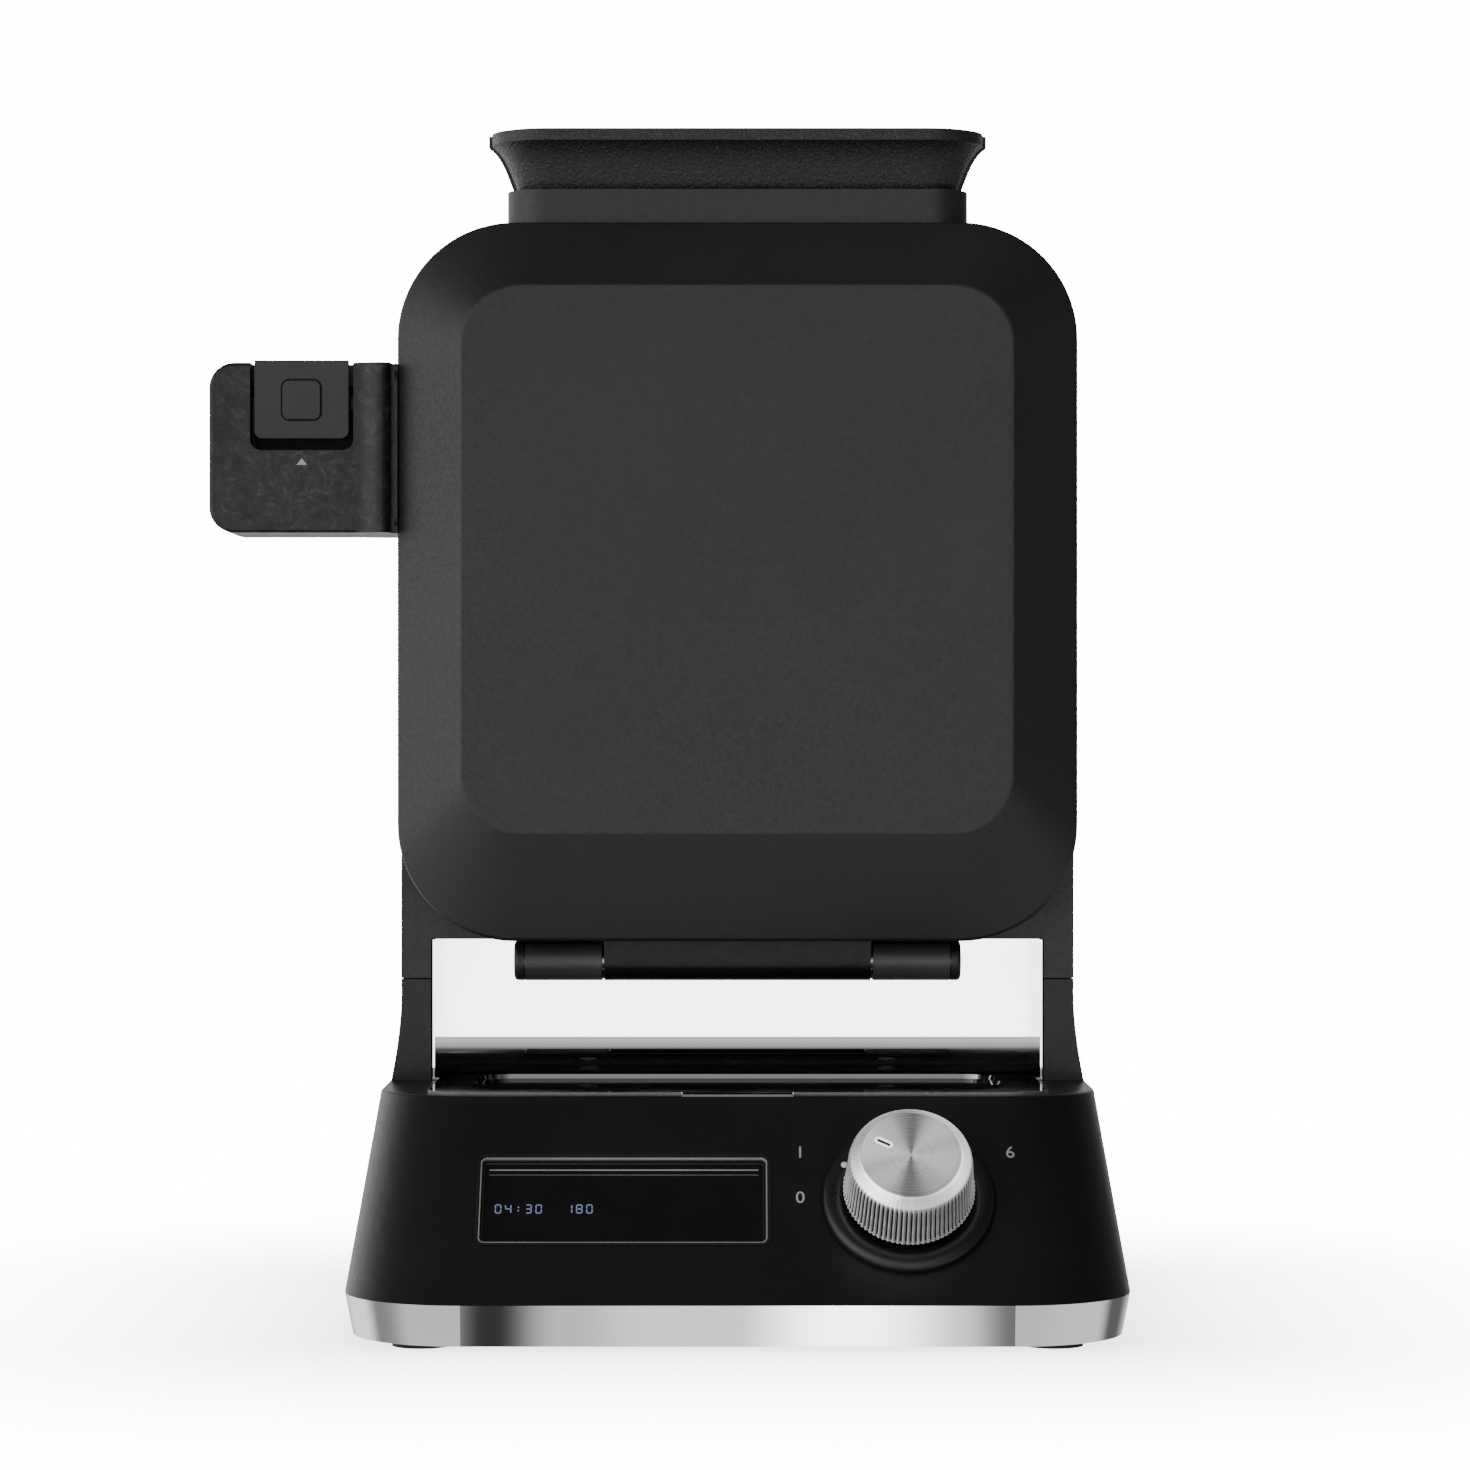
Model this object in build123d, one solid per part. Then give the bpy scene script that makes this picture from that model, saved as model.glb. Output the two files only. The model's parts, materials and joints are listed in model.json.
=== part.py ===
from build123d import *
import os
from math import atan2, cos, degrees, radians, sin

# Vertical waffle maker. Millimetres, +X right, +Y towards the back, +Z up.
# The origin is on the counter, centred left to right, under the parting plane of the two halves.

# Clearances
fit_gap = 0.3
slide_gap = 0.05
parting_gap = 0.4
seam_gap = 0.4
face_inset = 0.5
hair = 0.01

# Upright head: the outline that both halves share
head_width = 215.3
head_bottom = 118.2
head_height = 227.6
head_corner = 37.0
shell_wall = 2.0

# Lid half
rim_depth = 16.0
panel_depth = 30.0
panel_width = 173.3
panel_height = 172.0
panel_rise = 34.5
panel_corner = 19.0
panel_edge_round = 1.6
rim_edge_round = 1.8

# Fixed half and its cover
housing_depth = 34.0
cover_depth = 62.0
cover_edge = 20.0
cover_edge_inside = 18.0
leg_bottom = 105.7
leg_width = 9.5
vent_count = 9
vent_width = 3.2
vent_height = 34.0
vent_pitch = 11.0
vent_level = 262.0

# Ledge that carries each waffle plate inside its half
ledge_front = 4.0
ledge_depth = 5.0
ledge_width = 8.0
ledge_corner = 26.0

# Waffle plates
flange_thickness = 2.4
pan_side_margin = 16.65
pan_height = 182.0
pan_corner = 16.0
pan_level = 236.0
pan_wall = 4.5
pan_thickness = 3.0
cavity_depth = 12.0
peg_height = 8.0
peg_base = 17.0
peg_tip = 14.0
peg_pitch = 24.0
peg_rows = 7
post_radius = 4.0
post_spread = 150.0
shield_depth = 22.4
shield_thickness = 0.6
shield_width = 172.0
shield_height = 172.0
shield_window_width = 53.8
shield_window_height = 19.8
shield_window_corner = 3.3

# Heating elements and what senses the plates
element_radius = 3.3
element_width = 124.0
element_height = 112.0
element_corner = 18.0
element_gap = 34.0
pin_radius = 1.4
pin_gap = 10.0
pin_length = 7.0
sensor_radius = 9.0
sensor_depth = 7.0
sensor_cap_height = 2.0
sensor_cap_inset = 2.5
sensor_lug_reach = 5.0
sensor_lug_width = 8.0
sensor_lug_thickness = 1.0
fuse_radius = 2.4
fuse_length = 14.0
fuse_offset = 30.0
fuse_lead_radius = 0.6
fuse_lead_reach = 6.0

# Plate screws
screw_radius = 1.6
screw_head_radius = 3.0
screw_head_height = 0.8
screw_length = 7.0
plate_screw_inset = 4.0
plate_screw_spread_z = 120.0

# Collar on top of the head, and the filling funnel that stands in it
collar_width = 146.8
collar_height = 10.8
collar_depth = 14.0
collar_corner = 12.0
funnel_foot_width = 140.6
funnel_foot_depth = 22.4
funnel_foot_corner = 10.5
funnel_rim_width = 156.7
funnel_rim_depth = 40.0
funnel_rim_corner = 18.5
funnel_flare_height = 14.8
funnel_rim_band = 3.7
funnel_wall = 2.6
funnel_rear_extra = 1.2
funnel_seam = 0.6
funnel_straight_share = 0.6
throat_width = 52.0
throat_depth = 15.0
throat_corner = 6.0
throat_wall = 2.0
throat_mouth_drop = 17.0

# Side handles
handle_length = 59.2
handle_bottom = 247.4
handle_height = 53.7
handle_corner = 8.0
handle_front = 20.0
handle_back = 17.6
handle_wall = 3.0
handle_neck = 12.7
handle_neck_drop = 5.0
rear_neck_drop = 2.4
handle_bead = 1.5
handle_bead_from_head = 4.6
neck_roll_reach = 0.62
neck_roll_fall = 0.14
neck_flange = 2.0
neck_flange_corner = 5.0
neck_flange_inset = 0.8
neck_flange_lip = 1.4
handle_edge_round = 1.2
pocket_from_head = 13.6
pocket_width = 32.6
pocket_height = 27.7
pocket_corner = 3.4
pocket_depth = 9.0
pocket_floor = 2.4
handle_bolt_rise = 12.0
handle_bolt_depth = 12.4
handle_bolt_length = 4.6

# Latch
button_width = 29.6
button_height = 24.6
button_stand = 0.6
button_thickness = 2.8
button_corner = 2.4
badge_width = 12.0
badge_height = 12.4
badge_corner = 2.2
badge_stand = 0.3
badge_recess = 0.7
badge_gap = 0.5
badge_edge_round = 0.3
badge_drop = 6.3
latch_pivot_drop = 8.6
latch_pivot_depth = 14.6
latch_hub_radius = 2.7
latch_pin_radius = 1.4
latch_pin_socket = 2.0
hook_width = 10.0
hook_height = 3.2
hook_reach = 8.6
hook_tooth_depth = 3.0
hook_tooth_drop = 2.6
hook_slot_gap = 1.2
catch_height = 4.0
catch_depth = 2.6
spring_radius = 2.4
spring_wall = 0.6
spring_length = 5.0

# Hinge below the head
hinge_level = 111.4
hinge_radius = 6.4
hinge_pin_radius = 3.0
barrel_half_width = 42.5
knuckle_gap = 0.8
knuckle_width = 24.5
ear_thickness = 3.2
ear_skin = 1.2
ear_edge_round = 1.4
bracket_depth = 10.0
bracket_thickness = 2.4
bracket_flange = 14.0

# Base: the deck outline above, the outline at the top of the band, and at its lower edge
deck_level = 72.9
deck_overhang = 3.85
deck_front = 63.0
deck_back = 68.0
deck_corner = 34.0
band_top = 15.1
band_spread = 7.5
band_front = 110.0
band_back = 80.0
band_corner = 37.0
band_bottom = 2.7
band_tuck = 2.4
band_thickness = 1.0
base_wall = 2.6
deck_thickness = 3.0
deck_edge_round = 1.0
column_low_rise = 6.0
column_low_flare = 0.55
column_low_corner = 0.6
column_high_rise = 18.0
column_high_flare = 0.12
column_high_corner = 0.2

# Splash liner: tray, cove and back panel in one sheet
liner_thickness = 0.6
liner_lift = 0.3
liner_front = 58.0
liner_side_gap = 0.5
liner_side_margin = 12.25
liner_front_corner = 12.0
liner_back = 31.0
cove_radius = 11.0
wing_front = 2.0
tray_half_width = 84.0
tray_front = 48.0
tray_back = 16.0
tray_corner = 12.0
tray_drop = 1.4
tray_side_slope = 0.5
edge_margin = 1.0
tab_half_width = 17.0
tab_front = 62.4
tab_bend = 59.8

# Display and its board, measured down the slope from the deck's front edge
window_left = -77.7
window_right = 9.0
window_drop = 22.0
window_height = 30.6
window_corner = 2.0
window_thickness = 1.6
window_recess = 2.4
bezel_width = 1.0
bezel_stand = 0.25
bezel_ledge = 1.0
board_depth = 16.0
board_thickness = 1.6
board_margin = 9.0
module_margin = 4.0
board_post_inset = 5.0
board_post_radius = 3.0

# Control knob
knob_centre = 51.3
knob_drop = 37.4
dial_radius = 26.0
dial_height = 3.8
dial_edge = 0.8
dial_flank = 4.2
dial_dish = 2.0
dial_bore = 7.0
knob_radius = 19.6
knob_shoulder_radius = 18.5
knob_bevel_radius = 18.0
knob_face_radius = 14.8
knob_bottom = 6.0
knob_bevel_level = 21.0
knob_bevel_lift = 0.8
knob_top = 24.5
knob_wall = 2.0
knob_groove_count = 45
knob_groove_radius = 0.6
knob_groove_margin = 1.0
knob_pointer_angle = 62.0
pointer_length = 7.6
pointer_width = 3.0
pointer_from_centre = 9.0
pointer_depth = 0.5
pointer_sink = 0.1
shaft_radius = 3.0
shaft_flat = 0.8
shaft_socket = 9.0
shaft_seat = 1.0
encoder_width = 14.0
encoder_height = 7.0
encoder_bush_radius = 4.5

# Power board, wiring and cord entry
power_board_width = 120.0
power_board_depth = 70.0
power_board_level = 14.0
power_board_front = -24.0
power_post_inset = 6.0
relay_width = 22.0
relay_depth = 16.0
relay_height = 16.0
transformer_width = 34.0
transformer_depth = 28.0
transformer_height = 26.0
terminal_width = 24.0
terminal_depth = 12.0
terminal_height = 12.0
terminal_x = 40.0
terminal_y = 20.0
relay_x = -34.0
relay_y = 2.0
transformer_x = -28.0
transformer_y = 30.0
harness_radius = 3.0
harness_bend = 7.0
harness_gap = 3.0
lid_lead_radius = 1.8
lid_lead_step = 10.0
gland_radius = 8.0
gland_flange_radius = 11.0
gland_flange = 2.5
gland_length = 16.0
gland_bore = 3.7
gland_x = -62.0
gland_level = 34.0
gland_boss_margin = 1.5
cover_plate = 2.2

# Feet and covers
foot_radius = 9.0
foot_plug_radius = 5.0
foot_plug_height = 1.6
foot_spread_x = 190.0
foot_front_y = -84.0
foot_back_y = 58.0
cover_screw_spread_x = 120.0
cover_boss = 12.0
bracket_screw_spread_x = 100.0
bracket_screw_length = 6.0

# Worked-out places
head_top = head_bottom + head_height
head_half = head_width / 2
pan_width = head_width - 2 * pan_side_margin
deck_half_width = head_half + deck_overhang
band_half_width = deck_half_width + band_spread
liner_front_half_width = head_half - liner_side_margin
head_middle = head_bottom + head_height / 2
panel_middle = head_bottom + panel_rise + panel_height / 2
flange_back = ledge_front
flange_front = ledge_front - flange_thickness
pan_back = cavity_depth + pan_thickness
pan_top = pan_level + pan_height / 2
collar_top = head_top + collar_height
funnel_flare_top = collar_top + funnel_flare_height
funnel_top = funnel_flare_top + funnel_rim_band
bay_half = head_half - leg_width
bay_back = liner_back + liner_thickness
handle_top = handle_bottom + handle_height
handle_middle = handle_bottom + handle_height / 2
handle_left = -head_half - handle_length
pocket_right = -head_half - pocket_from_head
pocket_left = pocket_right - pocket_width
pocket_middle = (pocket_left + pocket_right) / 2
pocket_back = handle_front - pocket_depth
pocket_bottom = handle_top - pocket_height
latch_level = handle_top - latch_pivot_drop
catch_back = hook_reach - hook_tooth_depth - fit_gap
catch_top = latch_level - hook_height / 2 - hook_tooth_drop - fit_gap
knuckle_inner = barrel_half_width + knuckle_gap
knuckle_outer = knuckle_inner + knuckle_width
ear_inner = knuckle_outer + fit_gap
ear_outer = ear_inner + ear_thickness
slope_run = band_front - deck_front
slope_fall = deck_level - band_top
slope_tilt = degrees(atan2(slope_run, slope_fall))
slope_wall = base_wall * cos(radians(slope_tilt))
slope_normal = (0, -cos(radians(slope_tilt)), sin(radians(slope_tilt)))
slope_plane = Plane(origin=(0, -deck_front, deck_level), x_dir=(1, 0, 0), z_dir=slope_normal)


def front_plane(x, y, z):
    """Plane facing the front, with its drawing's up along +Z."""
    return Plane(origin=(x, y, z), x_dir=(1, 0, 0), z_dir=(0, -1, 0))


def rounded(width, height, corner):
    """Rectangle whose corners are rounded where there is room for it."""
    radius = min(corner, width / 2 - hair, height / 2 - hair)
    return RectangleRounded(width, height, radius)


def upright(width, height, corner, middle, near, far, x=0):
    """Slab seen from the front as a rounded rectangle, from y=near back to y=far."""
    return extrude(front_plane(x, far, middle) * rounded(width, height, corner), far - near)


def block(x0, x1, y0, y1, z0, z1):
    """Box between two corners."""
    middle = Pos((x0 + x1) / 2, (y0 + y1) / 2, (z0 + z1) / 2)
    return middle * Box(abs(x1 - x0), abs(y1 - y0), abs(z1 - z0))


def rod(radius, start, direction, length):
    """Cylinder from a start point along a direction."""
    return extrude(Plane(origin=start, z_dir=direction) * Circle(radius), length)


def flipped(solid):
    """The same shape on the other side of the parting plane."""
    return mirror(solid, about=Plane.XZ)


def outline_at(level, half_width, front, back, corner):
    """Rounded rectangle in plan, at a height, between its front and back edges."""
    middle = Pos(0, (back - front) / 2, level)
    return middle * rounded(2 * half_width, front + back, corner)


def base_section(level, inset):
    """Plan of the base at a height between the band's top and the deck, drawn in by a wall."""
    share = (level - band_top) / (deck_level - band_top)
    half = band_half_width + share * (deck_half_width - band_half_width)
    front = band_front + share * (deck_front - band_front)
    back = band_back + share * (deck_back - band_back)
    corner = band_corner + share * (deck_corner - band_corner)
    return outline_at(level, half - inset, front - inset, back - inset, corner - inset)


def band_section(level, inset):
    """Plan of the band's outer face at a height, drawn in by a wall."""
    share = (band_top - level) / (band_top - band_bottom)
    draw = inset + share * band_tuck
    half = band_half_width - draw
    return outline_at(level, half, band_front - draw, band_back - draw, band_corner - draw)


def ruled(*sections):
    """Solid with straight sides through the sections."""
    return loft(list(sections), ruled=True)


def on_slope(x, drop, lift=0):
    """Plane on the control slope: across, down from the deck's edge, and out from the face."""
    return slope_plane * Pos(x, -drop, lift)


def capsule_path(points, radius):
    """Path of straight runs joined by arcs of one radius."""
    return FilletPolyline(*points, radius=radius)


def tube_along(path, radius):
    """Round bar swept along a path."""
    start = path @ 0
    direction = path % 0
    return sweep(Plane(origin=start, z_dir=direction) * Circle(radius), path=path)


# Lid half

def lid_body(grow):
    """Lid outline as a solid, drawn in by a wall on every side but the back."""
    rim = rounded(head_width - 2 * grow, head_height - 2 * grow, head_corner - grow)
    panel = rounded(panel_width - grow, panel_height - grow, panel_corner - grow / 2)
    sides = extrude(front_plane(0, -parting_gap, head_middle) * rim, rim_depth - parting_gap)
    slope = ruled(front_plane(0, -rim_depth, head_middle) * rim,
                  front_plane(0, grow - panel_depth, panel_middle) * panel)
    return sides + slope


def lid_shell():
    """Pressed front cover with its sloped border, ledge and collar half."""
    outer = lid_body(0)
    front = outer.faces().sort_by(Axis.Y)[0]
    outer = fillet(front.edges(), panel_edge_round)
    rim_edges = [e for e in outer.edges() if abs(e.center().Y + rim_depth) < hair
                 and abs(e.bounding_box().size.Y) < hair]
    outer = fillet(rim_edges, rim_edge_round)
    shell = outer - lid_body(shell_wall)
    shell += flipped(plate_ledge())
    shell += flipped(collar_half())
    return shell - throat_hole() - flipped(plate_screw_holes()) - flipped(handle_bolt_holes())


def plate_ledge():
    """Ring inside a half that the waffle plate's flange seats on."""
    inner_width = head_width - 2 * (shell_wall + ledge_width)
    inner_height = head_height - 2 * (shell_wall + ledge_width)
    ring = upright(head_width - 2 * shell_wall + face_inset, head_height - 2 * shell_wall + face_inset,
                   head_corner - shell_wall, head_middle, ledge_front, ledge_front + ledge_depth)
    return ring - upright(inner_width, inner_height, ledge_corner, head_middle, 0, 2 * ledge_depth)


def collar_half():
    """Fixed half of the collar that the funnel stands in."""
    deep = 2 * collar_depth
    plan = Pos(0, 0, head_top - shell_wall / 2) * rounded(collar_width, deep, collar_corner)
    collar = extrude(plan, collar_height + shell_wall / 2)
    behind = block(-head_half, head_half, parting_gap, deep, head_bottom, funnel_top)
    return collar & behind


def throat_hole():
    """Way down through the collar and ledge for the funnel's throat."""
    width = throat_width + 2 * (throat_wall + fit_gap)
    deep = throat_depth + 2 * (throat_wall + fit_gap)
    plan = Pos(0, 0, pan_top) * rounded(width, deep, throat_corner + throat_wall)
    return extrude(plan, funnel_top - pan_top)


def screw_places():
    """Where the plate screws go, seen from the front."""
    across = head_half - shell_wall - plate_screw_inset
    for x in (-across, across):
        for z in (-plate_screw_spread_z / 2, plate_screw_spread_z / 2):
            yield x, head_middle + z


def plate_screw_holes():
    """Holes for the plate screws, through a rear flange and ledge."""
    holes = [rod(screw_radius + slide_gap, (x, 0, z), (0, 1, 0), screw_length + flange_back)
             for x, z in screw_places()]
    return Part() + holes


def plate_screws():
    """Four countersunk screws that hold the rear waffle plate."""
    screws = []
    for x, z in screw_places():
        head_front = flange_front - screw_head_height
        head = rod(screw_head_radius, (x, head_front, z), (0, 1, 0), screw_head_height)
        shank = rod(screw_radius, (x, flange_front, z), (0, 1, 0), screw_length)
        screws.append(head + shank)
    return Compound(children=screws)


def plate_bed():
    """Rear cooking plate: flat casting with a grid of pegs in front and posts behind."""
    bed = upright(pan_width, pan_height, pan_corner, pan_level, cavity_depth, pan_back)
    start = -(peg_rows - 1) / 2 * peg_pitch
    floor = front_plane(0, cavity_depth, pan_level)
    tip = front_plane(0, cavity_depth - peg_height, pan_level)
    for row in range(peg_rows):
        for column in range(peg_rows):
            place = Pos(start + column * peg_pitch, start + row * peg_pitch, 0)
            bed += ruled(floor * place * Rectangle(peg_base, peg_base),
                         tip * place * Rectangle(peg_tip, peg_tip))
    for x in (-post_spread / 2, post_spread / 2):
        for z in (-post_spread / 2, post_spread / 2):
            bed += rod(post_radius, (x, pan_back, pan_level + z), (0, 1, 0), shield_depth - pan_back)
    return bed


def plate_frame():
    """Frame in front of the rear cooking plate: wall round the batter, seating flange, filling notch."""
    flange_width = head_width - 2 * (shell_wall + fit_gap)
    flange_height = head_height - 2 * (shell_wall + fit_gap)
    flange_corner = head_corner - shell_wall - fit_gap
    frame = upright(flange_width, flange_height, flange_corner, head_middle, flange_front, flange_back)
    frame += upright(pan_width, pan_height, pan_corner, pan_level, parting_gap, cavity_depth)
    inner_width = pan_width - 2 * pan_wall
    inner_height = pan_height - 2 * pan_wall
    frame -= upright(inner_width, inner_height, pan_corner - pan_wall, pan_level, 0, cavity_depth)
    frame -= throat_hole()
    frame -= block(-throat_width / 2, throat_width / 2, 0, throat_depth / 2, pan_top - 2 * pan_wall, pan_top)
    return frame - plate_screw_holes()


def heat_shield():
    """Sheet behind a plate that keeps its heat from the cover."""
    sheet = upright(shield_width, shield_height, pan_corner, pan_level, shield_depth,
                    shield_depth + shield_thickness)
    lead_room = upright(shield_window_width, shield_window_height, shield_window_corner,
                        pan_level - element_height / 2, shield_depth, shield_depth + shield_thickness)
    return sheet - lead_room


def heating_element():
    """Bent sheathed element behind a plate, with its two cold pins."""
    depth = pan_back + fit_gap + element_radius
    left = -element_width / 2
    right = element_width / 2
    low = pan_level - element_height / 2
    high = pan_level + element_height / 2
    points = [(-element_gap / 2, depth, low), (left, depth, low), (left, depth, high),
              (right, depth, high), (right, depth, low), (element_gap / 2, depth, low)]
    loop = tube_along(capsule_path(points, element_corner), element_radius)
    for side in (-1, 1):
        end = (side * element_gap / 2, depth, low)
        loop += rod(pin_radius, end, (-side, 0, 0), (element_gap - pin_gap) / 2)
        elbow = (side * pin_gap / 2, depth, low)
        loop += Pos(*elbow) * Sphere(pin_radius)
        loop += rod(pin_radius, elbow, (0, 1, 0), pin_length)
    return loop


def thermostat():
    """Temperature sensor clamped to the middle of a plate's back."""
    body_depth = sensor_depth - sensor_cap_height
    body = rod(sensor_radius, (0, pan_back, pan_level), (0, 1, 0), body_depth)
    cap_start = (0, pan_back + body_depth, pan_level)
    cap = rod(sensor_radius - sensor_cap_inset, cap_start, (0, 1, 0), sensor_cap_height)
    reach = sensor_radius + sensor_lug_reach
    lugs = block(-reach, reach, pan_back, pan_back + sensor_lug_thickness,
                 pan_level - sensor_lug_width / 2, pan_level + sensor_lug_width / 2)
    return body + cap + lugs


def thermal_fuse():
    """One-shot safety fuse lying along the plate's back."""
    depth = pan_back + fit_gap + fuse_radius
    start = (fuse_offset - fuse_length / 2, depth, pan_level + fuse_offset)
    body = rod(fuse_radius, start, (1, 0, 0), fuse_length)
    lead_start = (start[0] - fuse_lead_reach, depth, start[2])
    lead = rod(fuse_lead_radius, lead_start, (1, 0, 0), fuse_length + 2 * fuse_lead_reach)
    return body + lead


def funnel_half(extra):
    """Half of the filling funnel behind the parting plane, wider by extra on each side."""
    return funnel(extra) & block(-head_half, head_half, parting_gap, funnel_rim_depth, pan_top, funnel_top)


def funnel(extra):
    """Whole funnel before it is parted: flared bowl, rim band and throat."""
    steps = [0.0, 0.4, 0.75, 1.0]
    sections = []
    for step in steps:
        spread = funnel_spread(step)
        width = funnel_foot_width + spread * (funnel_rim_width - funnel_foot_width) + 2 * extra
        deep = funnel_foot_depth + spread * (funnel_rim_depth - funnel_foot_depth)
        corner = funnel_foot_corner + spread * (funnel_rim_corner - funnel_foot_corner)
        level = collar_top + funnel_seam + step * (funnel_flare_height - funnel_seam)
        sections.append(Pos(0, 0, level) * rounded(width, deep, corner))
    bowl = loft(sections)
    rim = rounded(funnel_rim_width + 2 * extra, funnel_rim_depth, funnel_rim_corner)
    bowl += extrude(Pos(0, 0, funnel_flare_top) * rim, funnel_rim_band)
    mouth_wall = 2 * funnel_wall
    mouth = Pos(0, 0, funnel_top) * rounded(funnel_rim_width + 2 * extra - mouth_wall,
                                           funnel_rim_depth - mouth_wall, funnel_rim_corner - funnel_wall)
    throat = Pos(0, 0, funnel_top - throat_mouth_drop) * rounded(throat_width, throat_depth, throat_corner)
    bowl -= ruled(throat, mouth)
    tube = Pos(0, 0, pan_top) * rounded(throat_width + 2 * throat_wall, throat_depth + 2 * throat_wall,
                                       throat_corner + throat_wall)
    bowl += extrude(tube, collar_top + 2 * funnel_seam - pan_top)
    way = Pos(0, 0, pan_top) * rounded(throat_width, throat_depth, throat_corner)
    return bowl - extrude(way, funnel_top - throat_mouth_drop - pan_top)


def funnel_spread(step):
    """How far the funnel has flared at a step of its height, partly straight and partly curved."""
    curve = 1 - (1 - step * step) ** 0.5
    return funnel_straight_share * step + (1 - funnel_straight_share) * curve


# Fixed half

def rear_outline(drop):
    """Front view of the fixed half: rounded head with two straight legs."""
    head = rounded(head_width - 2 * drop, head_height - 2 * drop, head_corner - drop)
    legs = []
    leg_top = head_bottom + head_corner
    for side in (-1, 1):
        across = side * (head_half - leg_width / 2)
        up = (leg_bottom + leg_top) / 2 - head_middle
        legs.append(Pos(across, up) * Rectangle(leg_width - 2 * drop, leg_top - leg_bottom))
    return head, legs


def rear_housing():
    """Frame of the fixed half, with its plate ledge, collar half, legs and liner stop."""
    plane = front_plane(0, housing_depth, head_middle)
    head, legs = rear_outline(0)
    shape = extrude(plane * head, housing_depth - parting_gap)
    for leg in legs:
        shape += extrude(plane * leg, housing_depth - parting_gap)
    shape += block(-head_half, head_half, parting_gap, housing_depth, head_bottom, head_bottom + head_corner)
    shape += block(-head_half, head_half, bay_back, housing_depth, leg_bottom, head_bottom)
    head_in, legs_in = rear_outline(shell_wall)
    shape -= extrude(plane * head_in, housing_depth)
    for leg in legs_in:
        shape -= extrude(plane * leg, housing_depth - parting_gap - shell_wall)
    shape += plate_ledge() + collar_half()
    for x in (-cover_screw_spread_x / 2, cover_screw_spread_x / 2):
        shape += block(x - cover_boss / 2, x + cover_boss / 2, ledge_front + ledge_depth, housing_depth,
                       head_top - shell_wall - cover_boss, head_top - shell_wall)
    shape -= throat_hole() + plate_screw_holes() + cover_screw_holes()
    return shape - handle_bolt_holes() - bracket_screw_holes()


def cover_screw_places():
    """Where the rear cover's screws go, seen from the back."""
    for x in (-cover_screw_spread_x / 2, cover_screw_spread_x / 2):
        yield x, head_top - shell_wall / 2 - cover_boss / 2


def cover_screw_holes():
    """Holes for the rear cover's screws."""
    holes = []
    for x, z in cover_screw_places():
        seat = cover_depth - cover_edge
        holes.append(rod(screw_radius + slide_gap, (x, cover_depth, z), (0, -1, 0),
                         cover_depth - housing_depth + screw_length + fit_gap))
        holes.append(rod(screw_head_radius + fit_gap, (x, seat, z), (0, 1, 0), cover_edge))
    return Part() + holes


def rear_cover():
    """Rounded back cover of the fixed half, with its vents."""
    def body(drop, edge):
        tall = head_top - leg_bottom + 2 * head_corner - drop
        middle = head_top - drop - tall / 2
        wide = head_width - 2 * drop
        shape = upright(wide, tall, head_corner - drop, middle, housing_depth, cover_depth - drop)
        back = shape.faces().sort_by(Axis.Y)[-1]
        return fillet(back.edges(), edge)
    hollow = body(shell_wall, cover_edge_inside)
    for x, z in cover_screw_places():
        hollow -= rod(cover_boss / 2, (x, housing_depth, z), (0, 1, 0), cover_depth - housing_depth)
    shape = body(0, cover_edge) - hollow
    shape = shape & block(-head_half, head_half, 0, 2 * cover_depth, leg_bottom, head_top)
    first = -(vent_count - 1) / 2 * vent_pitch
    for slot in range(vent_count):
        shape -= upright(vent_width, vent_height, vent_width / 2, vent_level, housing_depth, 2 * cover_depth,
                         x=first + slot * vent_pitch)
    return shape - cover_screw_holes()


def cover_screws():
    """Screws from inside the towers of the rear cover into the frame."""
    screws = []
    for x, z in cover_screw_places():
        seat = cover_depth - cover_edge
        head = rod(screw_head_radius, (x, seat, z), (0, 1, 0), screw_head_height)
        shank = rod(screw_radius, (x, seat, z), (0, -1, 0), seat - housing_depth + screw_length)
        screws.append(head + shank)
    return Compound(children=screws)


# Handles and latch

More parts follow.
